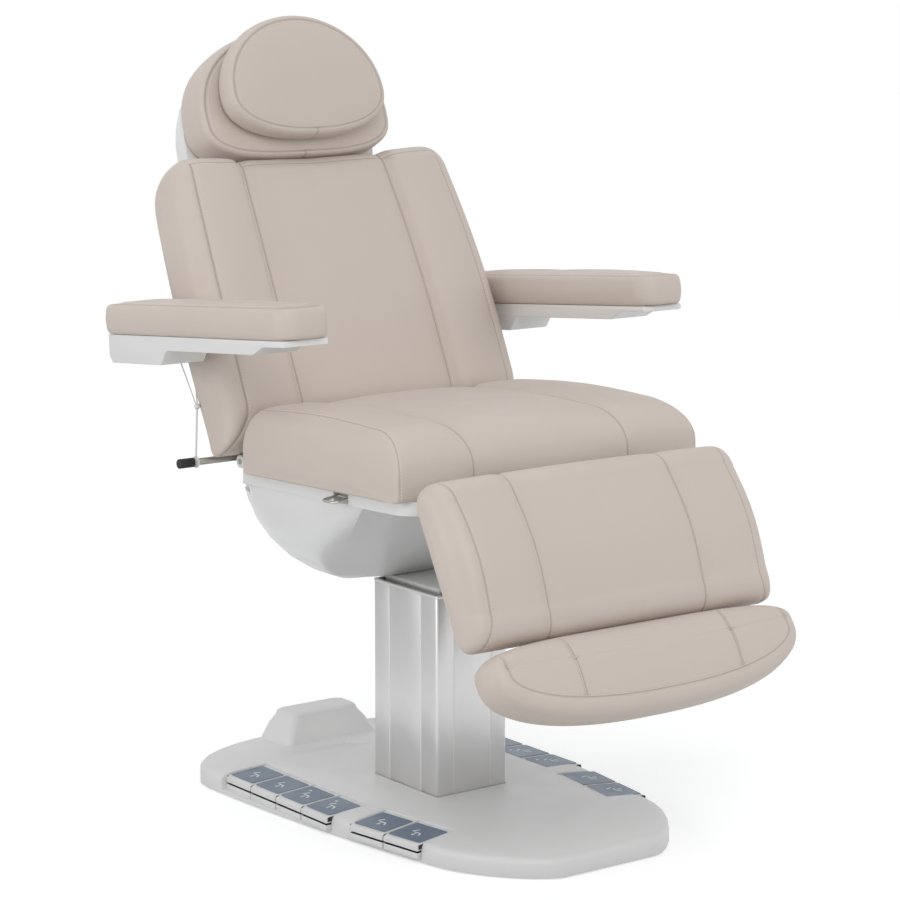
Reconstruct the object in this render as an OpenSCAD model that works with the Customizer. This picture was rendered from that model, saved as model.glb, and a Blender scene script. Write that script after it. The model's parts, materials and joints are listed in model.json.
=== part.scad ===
// Electric podiatry chair: pedal base, lifting column, seat, reclining back, leg and foot rests.
// Millimetres, up is +Z, the chair faces -Y, and the origin is on the floor under the column.

/* [Base] */
// Half width of the base where it is widest
base_half_w = 274; // [230:1:300]
// Place along the chair where the base is widest
base_wide_y = 290; // [250:1:330]
// Radius of the long curve of each side
base_side_r = 3100; // [2500:50:6000]
// Start of the front corner curve
base_front_y = -286; // [-320:1:-250]
// Half width of the straight front edge
base_nose_w = 92; // [70:1:140]
// Depth of the front corner curve
base_nose_l = 163; // [120:1:180]
// Half width of the straight rear edge
base_tail_w = 44; // [40:1:100]
// Depth of the rear corner curve
base_tail_l = 136; // [100:1:140]
// Thickness of the steel floor plate
plate_t = 6; // [4:1:10]
// Set-in of the floor plate under the cover
plate_inset = 9; // [5:1:20]
// Height of the cover's lower lip above the floor
cover_lip_z = 2; // [1:0.5:4]
// Height of the cover's straight wall
cover_wall_z = 23; // [18:1:28]
// Height where the rounded edge of the cover ends
cover_edge_z = 33; // [28:1:36]
// Radius of the rounded edge of the cover
cover_edge_r = 10; // [5:1:14]
// Height of the cover round the column
cover_top_z = 40; // [36:1:46]
// Set-in where the crown of the cover starts
cover_crown_inset = 20; // [14:1:30]

/* [Rear housing] */
// Half width of the housing at its foot
housing_w = 97; // [70:1:110]
// Half width of the housing at its top
housing_top_w = 68; // [50:1:80]
// Front of the housing
housing_y = 312; // [290:1:330]
// Depth of the housing at its foot
housing_l = 98; // [80:1:120]
// Depth of the housing at its top
housing_top_l = 62; // [40:1:80]
// Height of the housing above the floor
housing_z = 88; // [70:1:100]
// Radius of the housing's upright corners
housing_r = 16; // [8:1:24]
// Draw-in of the housing's front and rear towards the top
housing_in = 13; // [5:1:20]
// Rounding of the housing's upper edge
housing_edge_r = 8; // [3:1:12]
// Shift of the housing to the sitter's right
housing_shift = 2; // [0:1:15]

/* [Pedals] */
// Pitch of the four rear pedals of a side
pitch_a = 75.5; // [70:0.5:80]
// Pitch of the two front pedals of a side
pitch_b = 79.5; // [70:0.5:82]
// Rear end of the rear group of pedals
group_a_y = 250; // [230:1:270]
// Place of the hinge line of the rear group across the chair
group_a_x = 183; // [170:1:195]
// Rear end of the front group of pedals
group_b_y = -90; // [-110:1:-70]
// Place of the hinge line of the front group across the chair
group_b_x = 175; // [160:1:190]
// Turn of the front group
group_b_turn = 8; // [0:0.5:12]
// Length of a pedal from hinge line to outer end
pedal_l = 81; // [70:1:90]
// Slit beside a pedal
pedal_slit = 1.5; // [1:0.1:3]
// Height of the pedal's upper edge at the hinge line
pedal_in_z = 36.5; // [34:0.5:40]
// Height of the pedal's upper edge at the outer end
pedal_out_z = 31; // [28:0.5:34]
// Thickness of a pedal at the outer end
pedal_out_t = 10; // [8:0.5:12]
// Thickness of a pedal at the hinge line
pedal_in_t = 6; // [5:0.5:8]
// Gap between a pedal and its block
pedal_gap = 3; // [2:0.5:4]
// Rounding step of the pedal's outer end
pedal_nose = 3; // [1:0.5:5]
// Thickness of the printed label film
label_t = 0.6; // [0.4:0.1:1]
// Border round the label film
label_rim = 5; // [3:0.5:8]
// Radius of a pedal's hinge rod
pedal_rod_r = 2; // [1.5:0.1:3]
// Distance of the hinge rod from the pedal's inner end
pedal_rod_in = 5; // [4:0.5:8]
// Depth of the hinge rod below the pedal's upper edge
pedal_rod_down = 3.2; // [3:0.1:5]
// Length of rod held in the cover at each end
pedal_rod_hold = 8; // [5:1:12]
// Height of the pocket floor under the pedals
pocket_z = 8; // [6:1:10]
// Length of a fixed block under a pedal
block_l = 48; // [30:1:60]

/* [Column] */
// Width of the outer profile across the chair
column_w = 142; // [120:1:160]
// Depth of the outer profile along the chair
column_l = 179; // [150:1:190]
// Height of the top of the outer profile
column_top_z = 371; // [340:1:400]
// Wall of the profiles
column_wall = 5; // [4:0.5:8]
// Running gap between the profiles
column_gap = 1.5; // [1:0.25:3]
// Radius of the profile corners
column_r = 5; // [2:0.5:8]
// Width of a groove in the faces
groove_w = 2.4; // [1:0.2:4]
// Depth of a groove in the faces
groove_d = 0.8; // [0.4:0.1:1.2]
// Distance of the side grooves from the middle
groove_side_y = 44; // [30:1:60]
// Distance of the front grooves from the middle
groove_front_x = 38; // [20:1:60]
// Height of the trim frame on top
trim_t = 5; // [3:0.5:8]
// Gap between the column and the cover round it
foot_gap = 1; // [0.5:0.1:2]
// Thickness of the inner profile's top plate
cap_t = 8; // [6:1:12]
// Height of the bearing face on top of the inner profile
bearing_z = 377; // [376:0.5:390]

/* [Swivel head] */
// Half width of the swivel plate
turn_w = 56; // [50:1:57]
// Front end of the swivel plate
turn_front = -74; // [-76:1:-60]
// Rear end of the swivel plate
turn_rear = 100; // [90:1:105]
// Thickness of the swivel plate
flange_t = 6; // [5:1:8]
// Running gap under the swivel plate
flange_gap = 0.2; // [0.1:0.1:0.5]
// Radius of the swivel spigot
spigot_r = 22; // [15:1:30]
// Length of the swivel spigot
spigot_l = 30; // [20:1:60]
// Clearance of turning fits, on the radius
fit_gap = 0.05; // [0.02:0.01:0.1]
// Half width of the neck
neck_w = 44; // [30:1:48]
// Front face of the neck
neck_front = 62; // [60:1:66]
// Rear face of the neck
neck_rear = 98; // [92:1:102]
// Radius of the neck's upper eye
neck_eye_r = 18; // [15:1:22]
// Tilting axis along the chair
tilt_y = 80; // [40:1:95]
// Tilting axis above the floor
tilt_z = 470; // [450:1:490]
// Radius of the tilting pin
tilt_pin_r = 10; // [8:1:14]
// Half length of the tilting pin
tilt_pin_l = 68; // [60:1:80]

/* [Seat] */
// Rise of the seat towards the front
seat_tilt = 2.1; // [0:0.1:8]
// Height of the seat's reference point above the floor
seat_ref_z = 500; // [480:1:520]
// Height of the seat cushion's underside above the reference point
seat_z = 75; // [60:1:90]
// Thickness of the shell's rim
rim_t = 22; // [15:1:30]
// Half width of the shell's rim
rim_w = 281; // [260:1:295]
// Front end of the rim
rim_front = -310; // [-320:1:-290]
// Rear end of the rim
rim_rear = 166; // [150:1:190]
// Corner radius of the rim
rim_r = 45; // [20:1:80]
// Height of the bowl's underside above the floor
bowl_z = 384.5; // [384:0.5:395]
// Height of the bowl's upper end before it is cut along the seat
bowl_top_z = 570; // [560:1:580]
// Half width of the bowl at its top
bowl_w = 278; // [250:1:280]
// Front of the bowl at its uncut upper end
bowl_front = 262; // [220:1:280]
// Rear of the bowl at its top
bowl_rear = 297; // [270:1:300]
// Wall of the bowl
bowl_wall = 5; // [4:0.5:8]
// Half width of the bowl's flat underside
bowl_floor_w = 114; // [84:1:120]
// Foot of the bowl's sloping front face along the chair
bowl_nose_y = 49; // [44:1:52]
// Foot of the bowl's sloping front face above the floor
bowl_nose_z = 388; // [385:1:392]
// Head of the bowl's sloping front face along the chair
bowl_face_y = -157; // [-170:1:-140]
// Head of the bowl's sloping front face above the floor
bowl_face_z = 550; // [540:1:556]
// Rear of the bowl's flat underside
bowl_floor_y = 126; // [122:1:134]
// Height of the bowl's lowered rear rim above the reference point
bowl_side_z = 45; // [40:1:50]
// Height of the bowl's notch under the back above the reference point
bowl_notch_z = 35; // [30:1:40]
// Half width of the opening round the neck
hole_w = 58; // [56:1:62]
// Rear of the opening round the neck
hole_rear = 120; // [116:1:124]
// Depth that the bowl reaches into the rim
bowl_lap = 3; // [1:0.5:6]
// Half width of the seat cushion
seat_w = 297; // [280:1:310]
// Front end of the seat cushion
seat_front = -303; // [-320:1:-290]
// Rear end of the seat cushion
seat_rear = 155; // [140:1:170]
// Thickness of the seat cushion
seat_t = 104; // [80:1:120]
// Width of a steel rail
rail_w = 24; // [15:1:40]
// Height of a steel rail
rail_t = 25; // [15:1:40]
// Outer side of the rails from the middle
rail_x = 122; // [100:1:140]
// Rear end of the rails
rail_rear = 150; // [120:1:160]
// Thickness of the lugs of the tilting axis
lug_t = 12; // [8:1:16]
// Gap between lug and neck
lug_gap = 2; // [1:0.5:4]
// Half width of the lugs along the chair
lug_l = 22; // [16:1:30]
// Gap between the rails and the bowl's cut-outs
slot_gap = 3; // [2:0.5:6]

/* [Release lever] */
// Radius of the lever's wire
wire_r = 2.5; // [2:0.1:4]
// Reach of the wire loop
loop_l = 24; // [20:1:40]
// Width of the wire loop
loop_w = 40; // [30:1:60]
// Bend radius of the wire loop
loop_r = 8; // [5:1:15]
// Place of the loop along the chair
loop_y = -125; // [-140:1:-60]
// Hang of the loop below level
loop_drop = 8; // [0:1:30]
// Length of wire held at each side of the slot
loop_hold = 6; // [4:1:10]

/* [Back] */
// Lean of the back from upright
back_lean = 26.9; // [20:0.1:35]
// Foot of the back's front plane along the chair
back_y = 135; // [120:1:150]
// Foot of the back's front plane above the floor
back_z = 605; // [590:1:620]
// Thickness of the back cushion
back_t = 83; // [70:1:100]
// Half width of the back cushion
back_w = 300; // [280:1:310]
// Lower end of the back cushion
back_low = 17; // [10:1:40]
// Upper end of the back cushion at the shoulders
back_high = 522; // [500:1:540]
// Dip of the upper end in the middle
back_dip = 12; // [10:1:30]
// Narrowing of the back at each shoulder
back_taper = 22; // [0:1:40]
// Thickness of a wooden board
board_t = 12; // [8:1:15]
// Half width of the back board
back_board_w = 266; // [250:1:290]
// Upper end of the back board
back_board_high = 482; // [460:1:500]
// Lower end of the back cover
back_cover_low = 88; // [50:1:90]
// Half width of the back cover
back_cover_w = 258; // [240:1:280]
// Depth of the back cover
back_cover_t = 23; // [18:1:30]
// Wall of the back cover
back_cover_wall = 4; // [3:0.5:6]
// Corner radius of the back cover
back_cover_r = 80; // [30:1:90]
// Outer side of the back's steel uprights
upright_x = 240; // [230:1:260]
// Width of an upright
upright_w = 16; // [10:1:24]
// Thickness of an upright
upright_t = 12; // [8:1:16]
// Upper end of an upright
upright_high = 440; // [400:1:460]
// Hinge of the back along the chair
back_hinge_y = 205; // [190:1:220]
// Hinge of the back above the floor
back_hinge_z = 575; // [565:1:600]
// Radius of a hinge eye
eye_r = 11; // [9:1:16]
// Radius of a hinge pin
pin_r = 5; // [4:0.5:8]
// Thickness of a hinge bracket
bracket_t = 16; // [8:1:20]
// Gap between hinge parts side by side
side_gap = 1.5; // [0.5:0.5:3]

/* [Paper bar] */
// Place of the bar along the chair
bar_y = 236; // [220:1:250]
// Place of the bar above the floor
bar_z = 577; // [565:1:590]
// Radius of the bar
bar_r = 6; // [5:0.5:8]
// Half length of the bar
bar_l = 352; // [330:1:380]
// Radius of a rubber cap
bar_cap_r = 8; // [7:0.5:10]
// Length of a rubber cap
bar_cap_l = 28; // [20:1:40]
// Length of the bar inside a cap
bar_in_cap = 24; // [10:1:30]
// Thickness of a bar bracket
bar_plate_t = 6; // [4:0.5:8]
// Radius of the elastic cord's single part
cord_r = 1.8; // [1.2:0.1:3]
// Radius of each strand of the cord
strand_r = 1.1; // [0.8:0.1:2]
// Sideways start of each strand in the bead
strand_side = 0.9; // [0.8:0.1:1.2]
// Radius of a bead
bead_r = 5.2; // [4:0.1:7]
// Radius of the hole of a bead
bead_hole_r = 3; // [2:0.1:3.4]
// Gap between a bead and the side of the back cushion
bead_side = 0.5; // [0.3:0.1:2]
// Distance of the cord inward from the cap
cord_in = 5; // [3:1:10]
// Height of a bead above the bar
bead_up = 88; // [70:1:110]
// Distance of a bead behind the bar
bead_back = 22; // [0:1:40]
// Height of the cord's upper ends above the bar
cord_up = 159; // [140:1:180]
// Distance of the cord's upper ends behind the bar
cord_back = 76; // [60:1:90]
// Spread of the two strands at their upper ends
cord_spread = 26; // [16:1:32]
// Distance of the cord's upper ends inward from the armrest's end plate
hook_in = 10; // [6:0.5:16]

/* [Armrests] */
// Distance of an armrest's middle from the chair's middle
arm_x = 356; // [340:1:380]
// Place of the pivot up the back
arm_up = 214; // [190:1:240]
// Depth of the pivot behind the back's front plane
arm_in = 76; // [60:1:90]
// Rise of the armrests towards the front
arm_tilt = 5; // [0:0.5:8]
// Half width of an arm pad
pad_w = 46; // [40:1:55]
// Front end of an arm pad from the pivot
pad_front = -458; // [-480:1:-430]
// Rear end of an arm pad from the pivot
pad_rear = 102; // [80:1:120]
// Height of an arm pad's underside above the pivot
pad_z = 24; // [20:1:30]
// Thickness of an arm pad
pad_t = 50; // [40:1:60]
// Half width of an arm shell
arm_shell_w = 41; // [35:1:45]
// Thickness of the shell's thin front tip
arm_tip_t = 10; // [6:1:14]
// Length of the shell's thin front tip
arm_tip_l = 58; // [40:1:80]
// Length of the step behind the tip
arm_step_l = 32; // [20:1:50]
// Thickness of the shell along the arm
arm_body_t = 23; // [18:1:30]
// Depth of the boss under the pivot
arm_boss_down = 23; // [18:1:30]
// Front of the boss from the pivot
arm_boss_front = -88; // [-110:1:-60]
// Rear of the boss from the pivot
arm_boss_rear = 84; // [60:1:95]
// Set-in of the shell's ends under the pad
arm_shell_in = 14; // [8:1:24]
// Thickness of an arm bracket's end plate
arm_plate_t = 6; // [4:1:8]
// Gap between the back cushion and the end plate
arm_plate_gap = 1.5; // [1:0.5:4]
// Radius of an arm pivot pin
arm_pin_r = 6; // [5:0.5:8]
// Length of an arm pivot pin in the shell
arm_pin_l = 34; // [20:1:50]

/* [Head rest] */
// Lean of the head rest from upright
head_lean = 22; // [15:0.5:30]
// Foot of the head rest along the chair
head_y = 382; // [370:1:400]
// Foot of the head rest above the floor
head_z = 1053; // [1040:1:1070]
// Half width of the head cushion
head_w = 191; // [170:1:200]
// Height of the widest part above the foot
head_mid = 82; // [70:1:120]
// Height of the head cushion's lower edge above the foot
head_low = 3; // [0:1:15]
// Upper end of the head cushion
head_high = 232; // [220:1:260]
// Thickness of the head cushion
head_t = 74; // [60:1:100]
// Half width of the pillow
pillow_w = 158; // [140:1:170]
// Lower end of the pillow
pillow_low = 27; // [10:1:40]
// Height of the pillow's widest part
pillow_mid = 104; // [80:1:130]
// Upper end of the pillow
pillow_high = 240; // [230:1:260]
// Thickness of the pillow
pillow_t = 42; // [30:1:60]
// Distance from the head cushion's front plane to the pillow
pillow_out = 9; // [5:1:15]
// Half width of the head shell
head_shell_w = 192; // [170:1:196]
// Hang of the head shell below the head rest's foot
head_shell_drop = 20; // [0:1:30]
// Height of the head shell's widest part
head_shell_mid = 30; // [20:1:60]
// Upper end of the head shell
head_shell_high = 212; // [190:1:225]
// Depth of the head shell
head_shell_t = 64; // [40:1:75]
// Rounding of the head shell's rear edge
head_shell_r = 28; // [15:1:40]
// Distance of each head rod from the middle
rod_x = 60; // [40:1:90]
// Radius of a head rod
rod_r = 6; // [5:0.5:8]
// Depth of the head rods behind the back's front plane
rod_in = 104; // [98:1:108]
// Lower end of the head rods up the back
rod_low = 300; // [250:1:340]
// Tilting axis of the head rest up the back
head_axis_up = 552; // [540:1:570]
// Half length of the head rest's axle
head_axle_l = 80; // [70:1:100]
// Radius of the round rod heads
rod_eye_r = 10; // [9:0.5:12]
// Gap round the rod heads inside the shell
rod_eye_gap = 3; // [2:0.5:6]
// Backward swing of the head rest
head_swing = 15; // [5:1:30]

/* [Leg rest] */
// Lean of the calf rest from upright
leg_lean = 28.25; // [20:0.25:40]
// Foot of the calf rest's front plane along the chair
leg_y = -501; // [-520:1:-480]
// Foot of the calf rest's front plane above the floor
leg_z = 417; // [400:1:430]
// Half width of the calf cushion
leg_w = 298; // [280:1:305]
// Lower end of the calf cushion
leg_low = -12; // [-20:1:0]
// Upper end of the calf cushion
leg_high = 255; // [240:1:265]
// Thickness of the calf cushion
leg_t = 52; // [40:1:70]
// Thickness of the white plates behind the cushions
leg_plate_t = 8; // [5:1:12]
// Half width of the calf plate
leg_plate_w = 291; // [270:1:296]
// Hinge of the leg rest up the calf
leg_hinge_up = 240; // [230:1:250]
// Hinge of the leg rest behind the front plane
leg_hinge_in = 70; // [64:1:80]
// Thickness of the leg rest's hinge lugs
leg_lug_t = 10; // [8:1:14]
// Radius of the leg rest's hinge eyes
leg_eye_r = 10; // [8:1:12]
// Distance of the foot slides from the middle
slide_x = 150; // [120:1:180]
// Radius of a foot slide
slide_r = 8; // [6:0.5:10]
// Depth of the slides behind the calf's front plane
slide_in = 88; // [84:1:94]
// Half width of a guide block
guide_w = 18; // [14:1:24]
// Length of a guide block
guide_l = 40; // [30:1:60]
// Lower guide block up the calf
guide_low = 12; // [5:1:20]
// Upper guide block up the calf
guide_high = 84; // [70:1:110]
// Upper end of the slides up the calf
slide_high = 212; // [200:1:240]
// Lower end of the slides below the calf
slide_low = -92; // [-100:1:-60]

/* [Foot rest] */
// Lean of the foot rest from upright
foot_lean = 34.8; // [28:0.1:42]
// Foot of the foot rest's front plane along the chair
foot_y = -577; // [-590:1:-560]
// Foot of the foot rest's front plane above the floor
foot_z = 328; // [310:1:340]
// Half width of the foot cushion
foot_w = 298; // [280:1:305]
// Height of the foot cushion's widest part
foot_mid = 72; // [60:1:80]
// Lower end of the foot cushion in the middle
foot_low = -36; // [-60:1:-30]
// Upper end of the foot cushion
foot_high = 100; // [90:1:110]
// Thickness of the foot cushion
foot_t = 70; // [70:1:100]
// Set-in of the foot plate behind the cushion
foot_plate_in = 16; // [10:1:30]
// Lower end of the slide blocks on the foot plate
foot_block_low = 18; // [5:1:30]
// Upper end of the slide blocks on the foot plate
foot_block_high = 62; // [50:1:80]
// Depth of the slide blocks behind the foot plate
foot_block_t = 36; // [28:1:44]

/* [Cushions] */
// Rounding of a cushion's sewn edge
sew_r = 33; // [20:1:45]
// Rounding of the seat's upright corners seen from above
seat_corner_r = 22; // [5:1:40]
// Rounding of the seat's front edge
seat_edge_r = 45; // [20:1:70]
// Rounding of the seat's rear edge
seat_back_r = 60; // [20:1:70]
// Rounding of the back's lower edge
back_edge_r = 62; // [30:1:70]
// Rounding of the back's upper edge
back_top_r = 34; // [20:1:60]
// Rounding of the back's upper rear edge
back_rear_r = 40; // [10:1:60]
// Rounding of the calf cushion's edges
leg_edge_r = 26; // [10:1:40]
// Rounding of the lower edges on the board
low_r = 7; // [3:1:15]
// Distance of a sewn channel from the middle
channel_x = 153; // [120:1:180]
// Depth of a sewn channel
channel_d = 5; // [2:0.5:10]
// Half width of a sewn channel
channel_w = 9; // [4:1:15]
// Rise of the side bolsters
bolster_h = 13; // [0:1:20]
// Rise of the side bolsters on seat and calf
bolster_low_h = 5; // [0:1:20]
// Rise of the crown in the middle
crown_h = 4; // [0:0.5:10]
// Depth of the groove at a sewn border
seam_d = 1.2; // [0.5:0.1:3]
// Rounding of a pad's sewn edge
pad_sew_r = 9; // [5:1:14]
// Rounding of the foot cushion's sewn edge
foot_sew_r = 24; // [10:1:35]
// Rise of a pad's crown
pad_crown = 9; // [4:1:16]
// Outward swell of a pad's side
pad_swell = 2; // [0:0.5:4]

/* [Small parts] */
// Radius of a levelling foot
foot_disc_r = 25; // [18:1:35]
// Thickness of a levelling foot's disc
foot_disc_t = 4; // [3:0.5:5]
// Radius of a levelling foot's stud
stud_r = 5; // [4:0.5:8]
// Distance of the levelling feet from the middle, across
feet_x = 170; // [120:1:200]
// Place of the rear levelling feet
feet_rear = 300; // [250:1:340]
// Place of the front levelling feet
feet_front = -290; // [-340:1:-250]
// Gap round a sunk part
sunk_gap = 0.3; // [0.1:0.1:0.6]
// Width of the mains inlet
inlet_w = 48; // [40:1:60]
// Height of the mains inlet
inlet_h = 28; // [20:1:32]
// Depth of the mains inlet
inlet_l = 20; // [12:1:30]
// Depth of the mains inlet's socket
socket_l = 14; // [10:1:18]
// Wall round the mains inlet's socket
socket_wall = 8; // [5:1:12]
// Set-in of the mains inlet's face
inlet_in = 4; // [1:0.5:6]
// Half thickness of a pin in the socket
socket_pin_r = 1.5; // [1:0.1:2.5]
// Distance between the pins in the socket
socket_pitch = 8; // [5:0.5:10]
// Height of the middle of the mains inlet
inlet_z = 60; // [50:1:66]
// Radius of the cover's screw cap
screw_cap_r = 7; // [5:0.5:10]
// Thickness of the cover's screw cap
screw_cap_t = 4; // [3:0.5:6]
// Place of the screw cap across
screw_cap_x = -2; // [-40:1:40]
// Place of the screw cap along
screw_cap_y = 272; // [250:1:290]
// Radius of the wire of the cord hooks
hook_r = 1.5; // [1:0.1:2.5]
// Radius of a hook's round eye
hook_eye_r = 3; // [2:0.1:4]
// Radius of the knot inside a bead
knot_r = 2.8; // [1.8:0.1:3.2]
// Reach of a bead's hole through the bead
bead_reach = 8; // [6:1:12]

/* [Hidden] */
$fn = 48;
// One overrun for every cut
cut = 1;
corner_steps = 5;
oval_steps = 36;
front_power = 1.45;
rear_power = 2.1;
bowl_front_powers = [2, 4];
bowl_rear_power = 3.5;
bowl_side_power = 1.96;
bowl_turns = [0, 12, 24, 36, 48, 60, 72, 82, 90];
bowl_inner_turns = [10, 24, 38, 52, 66, 78, 90];
keel_share = 0.6;
face_share = 1.6;
arm_power = 9;
head_powers = [3.2, 2.05];
pillow_powers = [2.3, 2];
head_shell_powers = [3.3, 2.25];
foot_powers = [2.4, 7];
half_share = 0.5;
taper_share = 0.3;
side_share = 1.6;
crown_shares = [0.84, 0.6, 0.32];
cover_shares = [1, 0.82, 0.55];
cover_up_shares = [0.4, 0.8, 1];
housing_in_shares = [0, 0.1, 0.5, 0.9];
housing_up_shares = [0, 0.26, 0.63, 0.86];
rise_shares = [0.5, 0.8];
nose_shares = [3, 0.5, 0.3];
head_shell_shares = [0, 0.25, 0.5, 0.75, 0.92, 1];
head_shell_in_shares = [0, 0, 0.1, 0.35, 0.7, 1];
head_shell_low_shares = [0, 0.8, 1, 0.9, 0.3, 0];
edge_turns = [0, 30, 60];

// Closed solid through a row of rings, each listed anticlockwise seen from the end of the row
module stack(rings, closed = false) {
    n = len(rings[0]);
    m = len(rings);
    rows = closed ? m : m - 1;
    flat = [for (r = rings) each r];
    mids = [mean(rings[0]), mean(rings[m - 1])];
    sides = [for (k = [0:rows - 1], i = [0:n - 1])
        let (a = k * n + i, b = k * n + (i + 1) % n,
            d = ((k + 1) % m) * n + i, c = ((k + 1) % m) * n + (i + 1) % n)
        each [[a, d, c], [a, c, b]]];
    low = [for (i = [0:n - 1]) [i, (i + 1) % n, n * m]];
    high = [for (i = [0:n - 1]) [(m - 1) * n + (i + 1) % n, (m - 1) * n + i, n * m + 1]];
    polyhedron(points = closed ? flat : concat(flat, mids),
        faces = closed ? sides : concat(sides, low, high), convexity = 6);
}

function mean(r) = [for (k = [0:2]) let (v = [for (p = r) p[k]]) (v * [for (x = v) 1]) / len(r)];
function power(v, n) = sign(v) * pow(abs(v), 2 / n);
function lifted(pts, z) = [for (p = pts) [p[0], p[1], z]];
function arc(x, y, r, from, steps, sweep = 90) =
    [for (i = [0:steps]) let (t = from + sweep * i / steps) [x + r * cos(t), y + r * sin(t)]];

// Outline of the base, set in by d
function base_side(y, d) = base_half_w - d - pow(base_wide_y - y, 2) / (2 * base_side_r);
function base_right(d) = concat(
    [for (i = [0:corner_steps + 2]) let (t = -90 + 90 * i / (corner_steps + 2))
        [base_nose_w + (base_side(base_front_y, d) - base_nose_w) * power(cos(t), front_power),
            base_front_y + (base_nose_l - d) * power(sin(t), front_power)]],
    [for (i = [1:corner_steps])
        let (y = base_front_y + (base_wide_y - base_front_y) * i / (corner_steps + 1))
        [base_side(y, d), y]],
    [for (i = [0:corner_steps + 2]) let (t = 90 * i / (corner_steps + 2))
        [base_tail_w + (base_half_w - d - base_tail_w) * power(cos(t), rear_power),
            base_wide_y + (base_tail_l - d) * power(sin(t), rear_power)]]);
function base_outline(d) = let (r = base_right(d))
    concat(r, [for (i = [len(r) - 1:-1:0]) [-r[i][0], r[i][1]]]);

// Rounded box outline, wider or narrower at its lower and upper ends
function box_outline(w, low, high, r) = concat(
    arc(w - r, low + r, r, -90, corner_steps), arc(w - r, high - r, r, 0, corner_steps),
    arc(-w + r, high - r, r, 90, corner_steps), arc(-w + r, low + r, r, 180, corner_steps));

// Oval outline with its own bulge below and above its widest line
function oval(w, low, mid, high, n_low, n_high, d = 0) =
    [for (i = [0:oval_steps - 1])
        let (t = 360 * i / oval_steps, s = sin(t), n = s < 0 ? n_low : n_high)
        [(w - d) * power(cos(t), n), mid + (s < 0 ? mid - low - d : high - mid - d) * power(s, n)]];
function shrunk(pts, mid, share) = [for (p = pts) [p[0] * share, mid + (p[1] - mid) * share]];

// Sewn pad: plain underside, swelling sides, sewn border and a crowned face
module pad(w, low, mid, high, powers, t, r) {
    n_low = powers[0];
    n_high = powers[1];
    a = edge_turns[2];
    border = oval(w, low, mid, high, n_low, n_high, r + seam_d);
    stack(concat([
        lifted(oval(w, low, mid, high, n_low, n_high, low_r), 0),
        lifted(oval(w, low, mid, high, n_low, n_high, seam_d), low_r),
        lifted(oval(w, low, mid, high, n_low, n_high, -pad_swell), t * half_share),
        lifted(oval(w, low, mid, high, n_low, n_high), t - r),
        lifted(oval(w, low, mid, high, n_low, n_high, r * (1 - cos(a))), t - r * (1 - sin(a))),
        lifted(oval(w, low, mid, high, n_low, n_high, r), t - seam_d)],
        [for (s = crown_shares) lifted(shrunk(border, mid, s), t + pad_crown * (1 - s * s))]));
}

// Side view of an upholstered block, along in the first value and thickness in the second
function block_profile(low, high, t, r_low, r_high, r_rear) = concat(
    arc(low + low_r, low_r, low_r, 180, 2),
    arc(high - r_rear, r_rear, r_rear, 270, corner_steps - 1),
    arc(high - r_high, t - r_high, r_high, 0, corner_steps),
    [for (i = [1:3]) [high - r_high + (low + r_low - high + r_high) * i / 4, t + crown_h * sin(45 * i)]],
    arc(low + r_low, t - r_low, r_low, 90, corner_steps));

// Rings of an upholstered block, each with its place, its two shares and its lift at the upper end
function half_rings(w, h, l, rise, dip, corner) = concat(
    [[0, 1, 1 + crown_h / h, -dip]],
    [[channel_x * half_share, 1, 1 + crown_h * half_share / h, -dip]],
    [[channel_x - channel_w, 1, 1, -dip * rise_shares[1]]],
    [[channel_x, 1 - channel_d / l, 1 - channel_d / h, -dip * half_share]],
    [[channel_x + channel_w, 1, 1 + rise * half_share / h, 0]],
    [[(channel_x + w - sew_r) / 2, 1, 1 + rise / h, 0]],
    [[w - sew_r - channel_d, 1, 1 + rise * rise_shares[1] / h, 0]],
    [[w - sew_r, 1 - seam_d / l, 1 + (rise * half_share - seam_d) / h, 0]],
    [for (i = [2:-1:0]) let (a = edge_turns[i])
        [w - sew_r * (1 - cos(a)), 1 - corner * (1 - sin(a)) / l,
            1 + (rise * half_share * sin(a) - sew_r * (1 - sin(a))) / h, -low_r * cos(a)]],
    [[w + seam_d, 1 - corner * side_share / l, 1 - sew_r * side_share / h, -low_r]]);
module block(prof, w, low, high, t, rise, dip = 0, taper = 0, corner = sew_r) {
    l = (high - low) / 2;
    mid = (high + low) / 2;
    right = half_rings(w, t, l, rise, dip, corner);
    left = [for (i = [len(right) - 1:-1:1]) let (r = right[i]) [-r[0], r[1], r[2], r[3]]];
    stack([for (s = concat(left, right)) [for (p = prof)
        let (up = max(0, (p[0] - low) / (2 * l) - taper_share) / (1 - taper_share))
        [s[0] * (1 - taper / w * up * up), mid + (p[0] - mid) * s[1] + s[3] * max(0, (p[0] - mid) / l),
            p[1] * s[2]]]]);
}

// Local frames of the moving groups
module on_seat() {
    translate([0, 0, seat_ref_z])
        rotate([-seat_tilt, 0, 0]) children();
}
module on_back() {
    translate([0, back_y, back_z])
        rotate([90 - back_lean, 0, 0]) children();
}
module on_head() {
    translate([0, head_y, head_z])
        rotate([90 - head_lean, 0, 0]) children();
}
module on_leg() {
    translate([0, leg_y, leg_z])
        rotate([90 - leg_lean, 0, 0]) children();
}
module on_foot() {
    translate([0, foot_y, foot_z])
        rotate([90 - foot_lean, 0, 0]) children();
}
module on_arm(side) {
    translate([side * arm_x, arm_pivot[0], arm_pivot[1]])
        rotate([-arm_tilt, 0, 0]) children();
}
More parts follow.
